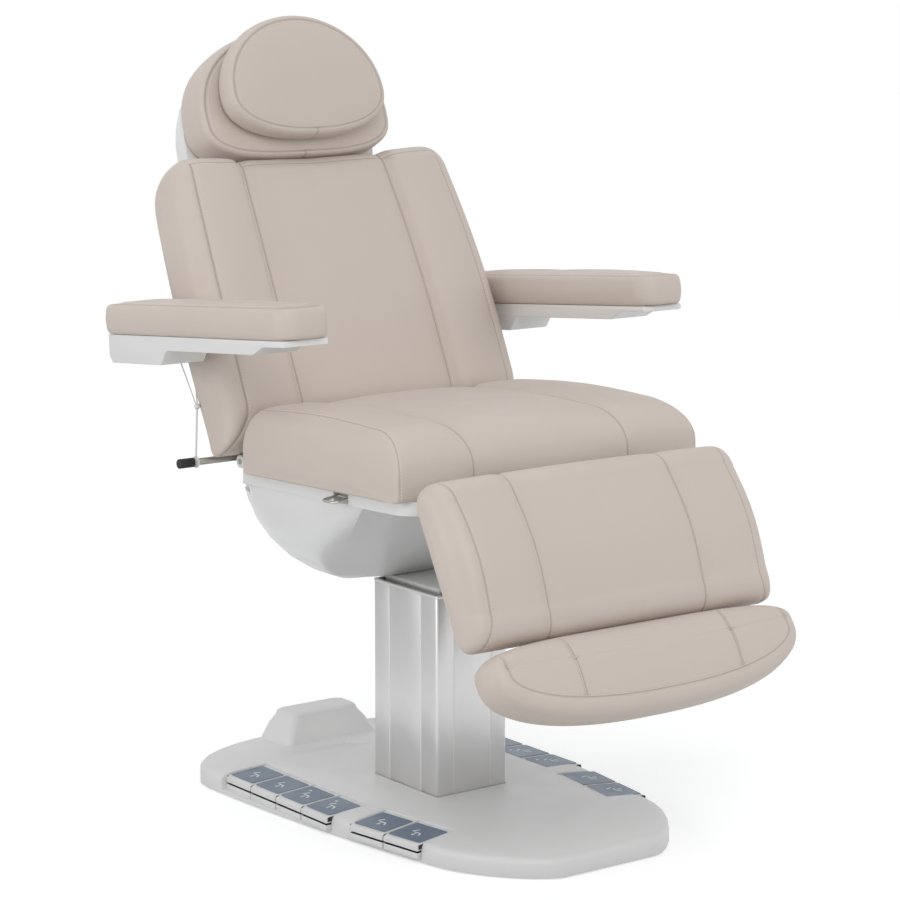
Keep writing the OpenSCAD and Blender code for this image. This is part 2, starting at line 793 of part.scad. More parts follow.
// Place in the chair's own side view of a point given in a leaning frame, and the reverse
function out_of(o, lean, p) =
    [o[0] + p[0] * sin(lean) - p[1] * cos(lean), o[1] + p[0] * cos(lean) + p[1] * sin(lean)];
function unit(q) = q / norm(q);
function into(o, lean, q) = let (d = q - o)
    [d[0] * sin(lean) + d[1] * cos(lean), -d[0] * cos(lean) + d[1] * sin(lean)];
function into_seat(q) = let (d = q - [0, seat_ref_z])
    [d[0] * cos(seat_tilt) - d[1] * sin(seat_tilt), d[0] * sin(seat_tilt) + d[1] * cos(seat_tilt)];
arm_pivot = out_of([back_y, back_z], back_lean, [arm_up, -arm_in]);
leg_hinge = out_of([leg_y, leg_z], leg_lean, [leg_hinge_up, -leg_hinge_in]);
back_hinge = [back_hinge_y, back_hinge_z];
head_axis = out_of([back_y, back_z], back_lean, [head_axis_up, -rod_in]);
tilt_axis = [tilt_y, tilt_z];

// Both sides of the chair
module both() {
    children();
    mirror([1, 0, 0]) children();
}
// Plate cut from a side view, standing between two distances from the middle
module plate_between(x0, x1) {
    translate([x0, 0, 0])
        rotate([90, 0, 90]) linear_extrude(x1 - x0) children();
}
// Round bar across the chair between two distances from the middle
module bar_between(x0, x1, p, r) {
    translate([x0, p[0], p[1]])
        rotate([0, 90, 0]) cylinder(r = r, h = x1 - x0);
}
// Round bar from one point to another
module bar_to(a, b, r) {
    d = b - a;
    translate(a) rotate([0, acos(d[2] / norm(d)), atan2(d[1], d[0])]) cylinder(r = r, h = norm(d), $fn = 16);
}

// Places of the pedals: each group's frame has the hinge line as its Y axis and X pointing outward
module in_group(side, front) {
    mirror([side < 0 ? 1 : 0, 0, 0])
        translate([front ? group_b_x : group_a_x, front ? group_b_y : group_a_y, 0])
            rotate([0, 0, front ? -group_b_turn : 0]) children();
}
function pedal_pitch(i) = i < 4 ? pitch_a : pitch_b;
function pedal_start(i) = i < 4 ? -(i + 1) * pitch_a : -(i - 3) * pitch_b;
function group_l(front) = front ? 2 * pitch_b : 4 * pitch_a;
rod_z = pedal_in_z - pedal_rod_down;

module pedal_section() {
    low = pedal_in_z - pedal_in_t;
    out = pedal_out_z - pedal_out_t;
    polygon([[pedal_slit * half_share, pedal_in_z],
        [pedal_l - pedal_nose * nose_shares[0], pedal_out_z + pedal_nose * nose_shares[1]],
        [pedal_l - pedal_nose, pedal_out_z - pedal_nose * nose_shares[2]],
        [pedal_l, pedal_out_z - pedal_nose],
        [pedal_l, out], [pedal_l - block_l, out],
        [2 * pedal_rod_in, low], [pedal_slit * half_share, low]]);
}
module label_section() {
    run = pedal_l - pedal_nose * nose_shares[0] - pedal_slit * half_share;
    fall = (pedal_in_z - pedal_out_z - pedal_nose * nose_shares[1]) / run;
    a = pedal_rod_in + label_rim;
    b = pedal_l - pedal_nose * nose_shares[0] - label_rim;
    polygon([[a, pedal_in_z - fall * a], [b, pedal_in_z - fall * b],
        [b, pedal_in_z - fall * b + label_t], [a, pedal_in_z - fall * a + label_t]]);
}
module pedal(side, i) {
    w = pedal_pitch(i) - 2 * pedal_slit;
    color("gainsboro") in_group(side, i > 3)
        translate([0, pedal_start(i) + pedal_slit + w, 0]) rotate([90, 0, 0]) {
            difference() {
                linear_extrude(w) pedal_section();
                translate([pedal_rod_in, rod_z, -cut]) cylinder(r = pedal_rod_r + fit_gap, h = w + 2 * cut);
            }
            translate([0, 0, label_rim]) linear_extrude(w - 2 * label_rim) label_section();
        }
}

module base_plate() {
    color("dimgray") difference() {
        linear_extrude(plate_t) polygon(base_outline(plate_inset));
        both() for (y = [feet_rear, feet_front]) translate([feet_x, y, -cut]) {
            cylinder(r = foot_disc_r + sunk_gap, h = foot_disc_t + cut);
            cylinder(r = stud_r, h = plate_t + 2 * cut);
        }
    }
}
module levelling_feet() {
    color("black") both() for (y = [feet_rear, feet_front]) translate([feet_x, y, 0]) {
        cylinder(r = foot_disc_r, h = foot_disc_t);
        cylinder(r = stud_r, h = plate_t);
    }
}
// One level of the housing at the rear, from its own draw-in and set-in
function housing_ring(s, z, d) = let (w = housing_w + (housing_top_w - housing_w) * s - d,
    low = housing_y + (housing_l - housing_in - housing_top_l) * s + d,
    high = housing_y + housing_l - housing_in * s - d)
    [for (p = box_outline(w, low, high, housing_r)) [p[0] - housing_shift, p[1], z]];
module base_cover() {
    edge = cover_edge_z - cover_wall_z;
    crown = cover_top_z - cover_edge_z;
    rise = housing_z - cover_wall_z;
    color("gainsboro") difference() {
        union() {
            stack(concat(
                [lifted(base_outline(0), cover_lip_z), lifted(base_outline(0), cover_wall_z)],
                [for (a = [30:30:90])
                    lifted(base_outline(cover_edge_r * (1 - cos(a))), cover_wall_z + edge * sin(a))],
                [for (i = [0:2]) lifted(shrunk(base_outline(cover_crown_inset), 0, cover_shares[i]),
                    cover_edge_z + crown * cover_up_shares[i])]));
            stack(concat(
                [for (i = [0:3])
                    housing_ring(housing_in_shares[i], cover_wall_z + rise * housing_up_shares[i], 0)],
                [for (a = [30:30:90])
                    housing_ring(housing_in_shares[3], housing_z - housing_edge_r * (1 - sin(a)),
                        housing_edge_r * (1 - cos(a)))]));
        }
        translate([0, 0, -cut])
            linear_extrude(plate_t + cut) polygon(base_outline(plate_inset - sunk_gap));
        translate([-column_w / 2 - foot_gap, -column_l / 2 - foot_gap, 0])
            cube([column_w + 2 * foot_gap, column_l + 2 * foot_gap, cover_top_z + cut]);
        for (side = [-1, 1], front = [false, true]) in_group(side, front) {
            translate([0, -group_l(front), pocket_z]) cube([2 * pedal_l, group_l(front), cover_top_z]);
            translate([pedal_rod_in, pedal_rod_hold, rod_z]) rotate([90, 0, 0])
                cylinder(r = pedal_rod_r, h = group_l(front) + 2 * pedal_rod_hold);
        }
        translate([screw_cap_x, screw_cap_y, cover_edge_z]) cylinder(r = screw_cap_r, h = cover_top_z);
        translate([-inlet_w / 2 - housing_shift, inlet_y, inlet_z - inlet_h / 2])
            cube([inlet_w, 2 * inlet_l, inlet_h]);
    }
}
inlet_y = housing_y + housing_l - housing_in - inlet_l;
module mains_inlet() {
    color("black") translate([-housing_shift, inlet_y, inlet_z]) {
        difference() {
            translate([-inlet_w / 2, 0, -inlet_h / 2]) cube([inlet_w, inlet_l - inlet_in, inlet_h]);
            translate([-inlet_w / 2 + socket_wall, inlet_l - socket_l, (socket_wall - inlet_h) / 2])
                cube([inlet_w - 2 * socket_wall, socket_l, inlet_h - socket_wall]);
        }
        for (x = [-socket_pitch, 0, socket_pitch]) translate([x - socket_pin_r, 0, -socket_pin_r])
            cube([2 * socket_pin_r, inlet_l - 2 * inlet_in, 2 * socket_pin_r]);
    }
}
module cover_cap() {
    color("gainsboro") translate([screw_cap_x, screw_cap_y, cover_edge_z])
        cylinder(r = screw_cap_r, h = screw_cap_t + seam_d);
}
module pedal_blocks() {
    top = pedal_out_z - pedal_out_t - pedal_gap;
    color("gainsboro") for (side = [-1, 1], i = [0:5]) in_group(side, i > 3)
        translate([pedal_l - block_l, pedal_start(i) + pedal_slit, pocket_z])
            cube([block_l, pedal_pitch(i) - 2 * pedal_slit, top - pocket_z]);
}
module pedal_rods() {
    color("silver") for (side = [-1, 1], front = [false, true]) in_group(side, front)
        translate([pedal_rod_in, pedal_rod_hold, rod_z]) rotate([90, 0, 0])
            cylinder(r = pedal_rod_r, h = group_l(front) + 2 * pedal_rod_hold);
}
module profile_tube(w, l, wall, r) {
    difference() {
        polygon(box_outline(w / 2, -l / 2, l / 2, r));
        polygon(box_outline(w / 2 - wall, -l / 2 + wall, l / 2 - wall, r));
    }
}
module column_outer() {
    h = column_top_z - plate_t;
    color("silver") translate([0, 0, plate_t]) difference() {
        linear_extrude(h) profile_tube(column_w, column_l, column_wall, column_r);
        for (s = [-1, 1]) {
            for (y = [-groove_side_y, groove_side_y]) translate([s * column_w / 2, y, h / 2])
                cube([2 * groove_d, groove_w, column_top_z], center = true);
            for (x = [-groove_front_x, groove_front_x]) translate([x, s * column_l / 2, h / 2])
                cube([groove_w, 2 * groove_d, column_top_z], center = true);
        }
    }
}
module column_trim() {
    color("silver") translate([0, 0, column_top_z]) linear_extrude(trim_t)
        profile_tube(column_w + 2 * groove_d, column_l + 2 * groove_d, column_wall + groove_d, column_r);
}
stage_in = column_wall + column_gap;
module column_middle() {
    color("silver") translate([0, 0, plate_t]) linear_extrude(column_top_z - plate_t)
        profile_tube(column_w - 2 * stage_in, column_l - 2 * stage_in, column_wall, column_r);
}
module column_inner() {
    w = column_w - 4 * stage_in;
    l = column_l - 4 * stage_in;
    color("silver") difference() {
        union() {
            translate([0, 0, plate_t])
                linear_extrude(bearing_z - plate_t) profile_tube(w, l, column_wall, column_r);
            translate([0, 0, bearing_z - cap_t])
                linear_extrude(cap_t) polygon(box_outline(w / 2, -l / 2, l / 2, column_r));
        }
        translate([0, 0, bearing_z - cap_t - cut]) cylinder(r = spigot_r + fit_gap, h = cap_t + 2 * cut);
    }
}
module swivel_head() {
    z = bearing_z + flange_gap;
    color("gainsboro") difference() {
        union() {
            translate([0, 0, z - spigot_l]) cylinder(r = spigot_r, h = spigot_l + cut);
            translate([0, 0, z])
                linear_extrude(flange_t) polygon(box_outline(turn_w, turn_front, turn_rear, column_r));
            translate([-neck_w, neck_front, z + cut])
                cube([2 * neck_w, neck_rear - neck_front, tilt_z - z - cut]);
            bar_between(-neck_w, neck_w, tilt_axis, neck_eye_r);
        }
        bar_between(-neck_w - cut, neck_w + cut, tilt_axis, tilt_pin_r + fit_gap);
    }
}
module tilt_pin() {
    color("silver") bar_between(-tilt_pin_l, tilt_pin_l, tilt_axis, tilt_pin_r);
}

// Wire loop, hinged in the rim
module lever_frame() {
    on_seat() translate([-rim_w + loop_r, loop_y, seat_z - rim_t / 2])
        rotate([0, -loop_drop, 0]) children();
}
module wire(l, r) {
    cylinder(r = r, h = l, $fn = 24);
}
module wire_loop() {
    side_y = loop_w / 2 - wire_r;
    translate([0, loop_w / 2 + loop_hold, 0]) rotate([90, 0, 0]) wire(loop_w + 2 * loop_hold, wire_r);
    for (s = [-1, 1]) {
        translate([0, s * side_y, 0]) rotate([0, -90, 0]) wire(loop_l, wire_r);
        translate([-loop_l, s * (side_y - loop_r), 0]) rotate([0, 0, s > 0 ? 90 : 180])
            rotate_extrude(angle = 90, $fn = 48) translate([loop_r, 0]) circle(r = wire_r, $fn = 24);
    }
    translate([-loop_l - loop_r, side_y - loop_r, 0])
        rotate([90, 0, 0]) wire(2 * (side_y - loop_r), wire_r);
}
module release_lever() {
    color("silver") lever_frame() wire_loop();
}

// One level of the bowl, a turns up from its underside and d set in
function bowl_ring(a, d) = let (s = pow(sin(a), 2 / bowl_side_power),
    c = pow(cos(a), 2 / bowl_side_power),
    q = 1 - c,
    w = bowl_floor_w + (bowl_w - bowl_floor_w) * s - d * s,
    f = bowl_nose_y - (bowl_front + bowl_nose_y) * (keel_share * q + (1 - keel_share) * q * q) + d * s,
    r = bowl_floor_y + (bowl_rear - bowl_floor_y) * s - d * s,
    m = (bowl_nose_y + bowl_floor_y) / 2 * (1 - s),
    n_front = bowl_front_powers[0] + (bowl_front_powers[1] - bowl_front_powers[0]) * q)
    lifted(bowl_oval(w, m, f, r, n_front), bowl_z + (bowl_top_z - bowl_z) * q + d * c);
function bowl_oval(w, m, f, r, n_front) = [for (i = [0:oval_steps - 1])
    let (t = 360 * i / oval_steps, n = sin(t) < 0 ? n_front : bowl_rear_power)
    [w * power(cos(t), n), m + (sin(t) < 0 ? m - f : r - m) * power(sin(t), n)]];
module rim_plate() {
    translate([0, 0, seat_z - rim_t])
        linear_extrude(rim_t) polygon(box_outline(rim_w, rim_front, rim_rear, rim_r));
}
// Everything in front of the bowl's sloping face, moved back by d
module before_face(d) {
    foot = [bowl_nose_y, bowl_nose_z];
    head = [bowl_face_y, bowl_face_z];
    a = foot + (foot - head) * half_share + [d, 0];
    b = head + (head - foot) * half_share + [d, 0];
    plate_between(-2 * rim_w, 2 * rim_w) polygon([a, b, [-3 * rim_w, b[1]], [-3 * rim_w, a[1]]]);
}
module bowl() {
    hole_front = bowl_nose_y + 2 * bowl_wall;
    difference() {
        stack([for (a = bowl_turns) bowl_ring(a, 0)]);
        before_face(0);
        difference() {
            stack([for (a = bowl_inner_turns) bowl_ring(a, bowl_wall)]);
            before_face(bowl_wall * face_share);
        }
        translate([-hole_w, hole_front, bowl_z - cut]) cube([2 * hole_w, hole_rear - hole_front, 4 * bowl_wall]);
        on_seat() {
            translate([-2 * rim_w, -2 * rim_w, seat_z - rim_t + bowl_lap])
                cube([4 * rim_w, 4 * rim_w, rim_w]);
            translate([-rim_w, rim_rear + rail_t, bowl_side_z]) cube([2 * rim_w, bowl_rear, rim_w]);
            translate([-back_cover_w - slot_gap, rim_rear + slot_gap, bowl_notch_z])
                cube([2 * (back_cover_w + slot_gap), bowl_rear, rim_w]);
        }
    }
}
module seat_shell() {
    color("white") difference() {
        union() {
            on_seat() rim_plate();
            bowl();
        }
        on_seat() for (s = [-1, 1])
            translate([s * (rail_x - rail_w / 2) - rail_w / 2 - slot_gap, rim_front - rim_r, rail_z - slot_gap])
                cube([rail_w + 2 * slot_gap, bowl_front - rim_front, rail_t + slot_gap]);
        lever_frame() {
            translate([-rim_w, -loop_w / 2 - fit_gap, -loop_r])
                cube([rim_w + loop_r - wire_r, loop_w + 2 * fit_gap, 2 * loop_r]);
            translate([0, loop_w / 2 + loop_hold, 0]) rotate([90, 0, 0])
                wire(loop_w + 2 * loop_hold, wire_r + fit_gap);
        }
    }
}
rail_z = seat_z - rim_t - rail_t;
module seat_frame() {
    h = into_seat(leg_hinge);
    v = into_seat(tilt_axis);
    top = rail_z + rail_t;
    lug_x = neck_w + lug_gap;
    color("dimgray") difference() {
        on_seat() {
            both() {
                translate([rail_x - rail_w, rim_front, rail_z]) cube([rail_w, rail_rear - rim_front, rail_t]);
                plate_between(rail_x - rail_w, rail_x) {
                    polygon([[rim_front + cut, rail_z], [rim_front + cut, top], [rim_front - slot_gap, top],
                        [h[0] + leg_eye_r, h[1]], [h[0] - leg_eye_r, h[1]],
                        [h[0] - leg_eye_r, top], [rim_front - slot_gap * 2, rail_z]]);
                    translate(h) circle(r = leg_eye_r);
                }
                plate_between(lug_x, lug_x + lug_t) {
                    translate([v[0] - lug_l, v[1]]) square([2 * lug_l, top - v[1]]);
                    translate(v) circle(r = lug_l);
                }
            }
            translate([-rail_x, v[0] - rim_r, top - lug_t]) cube([2 * rail_x, 2 * rim_r, lug_t]);
        }
        bar_between(-rail_x - cut, rail_x + cut, leg_hinge, pin_r);
        bar_between(-rail_x, rail_x, tilt_axis, tilt_pin_r);
    }
}
module seat_cushion() {
    color("tan") on_seat() translate([0, 0, seat_z])
        block(block_profile(seat_front, seat_rear, seat_t, seat_edge_r, seat_back_r, low_r),
            seat_w, seat_front, seat_rear, seat_t, bolster_low_h, corner = seat_corner_r);
}
bracket_x = upright_x + side_gap;
module back_hinge_brackets() {
    a = into_seat(back_hinge);
    in_y = rim_rear - rim_r * half_share;
    color("white") difference() {
        on_seat() difference() {
            both() plate_between(bracket_x, bracket_x + bracket_t) {
                translate(a) circle(r = eye_r);
                polygon([[in_y, seat_z - rim_t * half_share], [rim_rear, seat_z - rim_t * half_share],
                    [a[0] + eye_r * sin(45), a[1] - eye_r * cos(45)],
                    [a[0] - eye_r * sin(30), a[1] + eye_r * cos(30)], [in_y, seat_z]]);
            }
            rim_plate();
            translate([-seat_w, seat_front, seat_z])
                cube([2 * seat_w, seat_rear + 2 * sunk_gap - seat_front, seat_t]);
        }
        both() bar_between(bracket_x - cut, bracket_x + bracket_t + cut, back_hinge, pin_r);
    }
}
module back_hinge_pins() {
    color("silver") both() bar_between(upright_x - upright_w, bracket_x + bracket_t, back_hinge, pin_r);
}
module leg_hinge_pins() {
    color("silver") both() bar_between(rail_x - rail_w, rail_x + side_gap + leg_lug_t, leg_hinge, pin_r);
}

back_rear = back_t + board_t;
module board_plate() {
    r = back_cover_r * half_share;
    on_back() translate([0, 0, -back_rear]) linear_extrude(board_t)
        polygon(box_outline(back_board_w, back_low + slot_gap, back_board_high, r));
}
module back_board() {
    color("burlywood") board_plate();
}
module cover_block(d) {
    linear_extrude(back_cover_t)
        polygon(box_outline(back_cover_w - d, back_cover_low + d, back_board_high - d, back_cover_r - d));
}
module back_cover() {
    wall = back_cover_wall;
    color("white") on_back() difference() {
        translate([0, 0, -back_rear - back_cover_t]) cover_block(0);
        translate([0, 0, wall - back_rear - back_cover_t]) cover_block(wall);
        both() {
            translate([upright_x - upright_w - slot_gap, back_cover_low - cut,
                -back_rear - upright_t - slot_gap])
                cube([upright_w + 2 * slot_gap, back_cover_r + upright_w, upright_t + slot_gap + cut]);
            translate([upright_x - upright_w, arm_up - upright_w - slot_gap,
                -back_rear - upright_t - sunk_gap])
                cube([back_cover_w, 2 * upright_w + 2 * slot_gap, upright_t + slot_gap + cut]);
            translate([rod_x, back_board_high - back_cover_r, -rod_in]) rotate([-90, 0, 0])
                cylinder(r = rod_r + slot_gap + cut, h = back_cover_r + cut);
        }
    }
}
module back_frame() {
    a = into([back_y, back_z], back_lean, back_hinge);
    b = into([back_y, back_z], back_lean, [bar_y, bar_z]);
    color("dimgray") difference() {
        on_back() {
            both() {
                plate_between(upright_x - upright_w, upright_x) {
                    translate([back_cover_low, -back_rear - upright_t])
                        square([upright_high - back_cover_low, upright_t]);
                    polygon([[back_cover_low + cut, -back_rear - upright_t],
                        [back_cover_low + cut, -back_rear],
                        [back_low + slot_gap, -back_rear], [back_low - low_r, -back_t],
                        [a[0] + eye_r * sin(20), a[1] + eye_r * cos(20)], [a[0] - eye_r, a[1]],
                        [b[0] - eye_r * cos(40), b[1] - eye_r * sin(40)],
                        [b[0] + eye_r * half_share, b[1] - eye_r]]);
                    translate(a) circle(r = eye_r);
                    translate(b) circle(r = eye_r);
                }
                translate([rod_x - 2 * rod_r, rod_low, -back_rear - 2 * rod_r - slot_gap])
                    cube([4 * rod_r, upright_high - rod_low, 2 * rod_r + slot_gap]);
            }
            translate([-upright_x + cut, arm_up - upright_w, -back_rear - upright_t])
                cube([2 * upright_x - 2 * cut, 2 * upright_w, upright_t]);
            translate([-upright_x + cut, upright_high - upright_w, -back_rear - upright_t * half_share])
                cube([2 * upright_x - 2 * cut, upright_w, upright_t * half_share]);
        }
        board_plate();
        on_back() both() translate([rod_x, rod_low - cut, -rod_in]) rotate([-90, 0, 0])
            cylinder(r = rod_r + fit_gap, h = upright_high - rod_low + 2 * cut);
        both() bar_between(upright_x - upright_w - cut, upright_x + cut, back_hinge, pin_r + fit_gap);
        bar_between(-upright_x - cut, upright_x + cut, [bar_y, bar_z], bar_r);
    }
}
module back_cushion() {
    color("tan") on_back() translate([0, 0, -back_t])
        block(block_profile(back_low, back_high, back_t, back_edge_r, back_top_r, back_rear_r),
            back_w, back_low, back_high, back_t, bolster_h, back_dip, back_taper);
}
module paper_bar() {
    color("silver") bar_between(-bar_l, bar_l, [bar_y, bar_z], bar_r);
}
module bar_caps() {
    color("black") difference() {
        both() bar_between(bar_l - bar_in_cap, bar_l - bar_in_cap + bar_cap_l, [bar_y, bar_z], bar_cap_r);
        bar_between(-bar_l, bar_l, [bar_y, bar_z], bar_r);
    }
}
arm_plate_x = back_w + arm_plate_gap;
cord_x = bar_l - bar_in_cap - cord_in;
cord_foot = [cord_x, bar_y, bar_z];
hook_x = arm_plate_x - hook_in;
bead_at = [back_w + bead_r + bead_side, bar_y + bead_back, bar_z + bead_up];
cord_top = [hook_x, bar_y + cord_back, bar_z + cord_up];
bead_way = unit(unit(bead_at - cord_foot) + unit(cord_top - bead_at));
cord_tops = [for (s = [-1, 1]) cord_top + [s * cord_spread / 2, 0, 0]];
module elastic_cords() {
    color("white") difference() {
        both() {
            bar_between(cord_x - cord_r, cord_x + cord_r, [bar_y, bar_z], bar_r + 2 * cord_r);
            bar_to(cord_foot, bead_at, cord_r);
            translate(bead_at) sphere(r = knot_r, $fn = 24);
            for (i = [0, 1])
                bar_to(bead_at + (2 * i - 1) * [strand_side, 0, 0], cord_tops[i], strand_r);
        }
        bar_between(-bar_l, bar_l, [bar_y, bar_z], bar_r);
        both() for (t = cord_tops) translate(t) sphere(r = hook_eye_r, $fn = 24);
    }
}
module cord_beads() {
    color("white") both() difference() {
        translate(bead_at) sphere(r = bead_r, $fn = 32);
        bar_to(bead_at - bead_way * bead_reach, bead_at + bead_way * bead_reach, bead_hole_r);
    }
}
// Round eyes that hold the strands, on wires from the back's steel
module cord_hooks() {
    color("silver") both() for (t = cord_tops) translate(t) sphere(r = hook_eye_r, $fn = 24);
}
module arm_brackets() {
    color("white") difference() {
        on_back() both() {
            translate([upright_x, arm_up - upright_w, -back_rear - upright_t])
                cube([arm_plate_x + arm_plate_t - upright_x, 2 * upright_w, upright_t]);
            plate_between(arm_plate_x, arm_plate_x + arm_plate_t) {
                translate([arm_up - upright_w, -back_rear - cut]) square([2 * upright_w, back_rear + cut - arm_in]);
                translate([arm_up, -arm_in]) circle(r = upright_w);
            }
        }
        both() bar_between(arm_plate_x - cut, arm_plate_x + arm_plate_t + cut, arm_pivot, arm_pin_r);
        both() for (t = cord_tops) translate(t) sphere(r = hook_eye_r, $fn = 24);
    }
}
module arm_pins() {
    color("silver") both()
        bar_between(arm_plate_x, arm_plate_x + arm_plate_t + arm_pin_l, arm_pivot, arm_pin_r);
}
module arm_section() {
    front = pad_front + arm_shell_in;
    polygon([[front, pad_z], [front, pad_z - arm_tip_t], [front + arm_tip_l, pad_z - arm_tip_t],
        [front + arm_tip_l + arm_step_l, pad_z - arm_body_t],
        [arm_boss_front - arm_tip_t, pad_z - arm_body_t],
        [arm_boss_front + arm_tip_t, -arm_boss_down], [arm_boss_rear - arm_tip_t, -arm_boss_down],
        [arm_boss_rear, -arm_boss_down + arm_tip_t], [arm_boss_rear, pad_z]]);
}
module arm_shell(side) {
    color("white") difference() {
        on_arm(side) plate_between(-arm_shell_w, arm_shell_w) arm_section();
        mirror([side < 0 ? 1 : 0, 0, 0])
            bar_between(arm_plate_x, arm_plate_x + arm_plate_t + arm_pin_l + side_gap,
                arm_pivot, arm_pin_r + fit_gap);
    }
}
module arm_pad(side) {
    color("tan") on_arm(side) translate([0, 0, pad_z])
        pad(pad_w, pad_front, (pad_front + pad_rear) / 2, pad_rear, [arm_power, arm_power], pad_t, pad_sew_r);
}

module head_rods() {
    color("silver") both() difference() {
        union() {
            on_back() translate([rod_x, rod_low - rod_r * 4, -rod_in]) rotate([-90, 0, 0])
                cylinder(r = rod_r, h = head_axis_up - rod_low + rod_r * 4);
            bar_between(rod_x - rod_eye_r, rod_x + rod_eye_r, head_axis, rod_eye_r);
        }
        bar_between(rod_x - rod_eye_r - cut, rod_x + rod_eye_r + cut, head_axis, pin_r + fit_gap);
    }
}
module head_axle() {
    color("silver") bar_between(-head_axle_l, head_axle_l, head_axis, pin_r);
}
function shell_ring(i) = let (s = head_shell_low_shares[i], low = head_low * (1 - s) - head_shell_drop * s)
    lifted(oval(head_shell_w, low, head_shell_mid, head_shell_high, head_shell_powers[0],
        head_shell_powers[1], head_shell_r * head_shell_in_shares[i]),
        -head_t - head_shell_t * head_shell_shares[i]);
module head_shell() {
    reach = rod_eye_r + rod_eye_gap;
    far = 3 * head_axle_l;
    last = back_lean - head_swing;
    color("white") difference() {
        on_head() stack([for (i = [5:-1:0]) shell_ring(i)]);
        bar_between(-head_axle_l, head_axle_l, head_axis, pin_r);
        both() plate_between(rod_x - reach, rod_x + reach) translate(head_axis) {
            circle(r = reach);
            polygon([reach * [-cos(back_lean), sin(back_lean)],
                reach * [-cos(back_lean), sin(back_lean)] - far * [sin(back_lean), cos(back_lean)],
                reach * [cos(last), -sin(last)] - far * [sin(last), cos(last)], reach * [cos(last), -sin(last)]]);
        }
    }
}
module head_cushion() {
    color("tan") on_head() translate([0, 0, -head_t])
        pad(head_w, head_low, head_mid, head_high, head_powers, head_t, pad_sew_r);
}
module head_pillow() {
    color("tan") on_head() translate([0, 0, pillow_out])
        pad(pillow_w, pillow_low, pillow_mid, pillow_high, pillow_powers, pillow_t, pad_sew_r);
}

leg_rear = leg_t + leg_plate_t;
module leg_board() {
    color("white") on_leg() translate([0, 0, -leg_rear])
        linear_extrude(leg_plate_t)
            polygon(box_outline(leg_plate_w, leg_low + low_r, leg_high - low_r, leg_edge_r));
}
module leg_frame() {
    lug_x = rail_x + side_gap;
    rear = slide_in + slide_r + leg_plate_t;
    color("dimgray") difference() {
        on_leg() both() {
            plate_between(lug_x, lug_x + leg_lug_t) {
                translate([leg_hinge_up, -leg_hinge_in]) circle(r = leg_eye_r);
                polygon([[guide_low, -leg_rear], [guide_low, -leg_rear - leg_lug_t],
                    [leg_hinge_up - 2 * leg_eye_r, -leg_hinge_in - leg_eye_r],
                    [leg_hinge_up, -leg_hinge_in - leg_eye_r], [leg_hinge_up, -leg_rear]]);
            }
            for (y = [guide_low, guide_high]) translate([lug_x + cut, y, -rear])
                cube([slide_x + guide_w - lug_x - cut, guide_l, rear - leg_rear]);
        }
        both() bar_between(rail_x, lug_x + leg_lug_t + cut, leg_hinge, pin_r + fit_gap);
        on_leg() both() translate([slide_x, guide_low - cut, -slide_in]) rotate([-90, 0, 0])
            cylinder(r = slide_r + fit_gap, h = guide_high + guide_l - guide_low + 2 * cut);
    }
}
module calf_cushion() {
    color("tan") on_leg() translate([0, 0, -leg_t])
        block(block_profile(leg_low, leg_high, leg_t, leg_edge_r, leg_edge_r, low_r),
            leg_w, leg_low, leg_high, leg_t, bolster_low_h);
}
module foot_slides() {
    color("silver") both() {
        on_leg() translate([slide_x, slide_low, -slide_in]) rotate([-90, 0, 0])
            cylinder(r = slide_r, h = slide_high - slide_low);
        on_foot() translate([slide_x - guide_w, foot_block_low, -foot_t - leg_plate_t - foot_block_t])
            cube([2 * guide_w, foot_block_high - foot_block_low, foot_block_t]);
    }
}
module foot_board() {
    color("white") on_foot() translate([0, 0, -foot_t - leg_plate_t]) linear_extrude(leg_plate_t)
        polygon(oval(foot_w, foot_low, foot_mid, foot_high, foot_powers[0], foot_powers[1], foot_plate_in));
}
module foot_cushion() {
    color("tan") on_foot() translate([0, 0, -foot_t])
        pad(foot_w, foot_low, foot_mid, foot_high, foot_powers, foot_t, foot_sew_r);
}

base_plate();
levelling_feet();
base_cover();
mains_inlet();
cover_cap();
column_outer();
column_trim();
pedal_blocks();
pedal_rods();
pedal(-1, 0);  // pedal_right_1
pedal(-1, 1);  // pedal_right_2
pedal(-1, 2);  // pedal_right_3
pedal(-1, 3);  // pedal_right_4
pedal(-1, 4);  // pedal_right_5
pedal(-1, 5);  // pedal_right_6
pedal(1, 0);  // pedal_left_1
pedal(1, 1);  // pedal_left_2
pedal(1, 2);  // pedal_left_3
pedal(1, 3);  // pedal_left_4
pedal(1, 4);  // pedal_left_5
pedal(1, 5);  // pedal_left_6
column_middle();
column_inner();
swivel_head();
tilt_pin();
release_lever();
seat_shell();
seat_frame();
seat_cushion();
back_hinge_brackets();
back_hinge_pins();
leg_hinge_pins();
back_board();
back_cover();
back_frame();
back_cushion();
paper_bar();
bar_caps();
elastic_cords();
cord_beads();
cord_hooks();
arm_brackets();
arm_pins();
arm_shell(-1);  // arm_shell_right
arm_pad(-1);  // arm_pad_right
arm_shell(1);  // arm_shell_left
arm_pad(1);  // arm_pad_left
head_rods();
head_axle();
head_shell();
head_cushion();
head_pillow();
leg_frame();
leg_board();
calf_cushion();
foot_slides();
foot_board();
foot_cushion();
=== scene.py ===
import json
import math
import time
import bpy
import bmesh
import numpy as np
from mathutils import Matrix, Vector


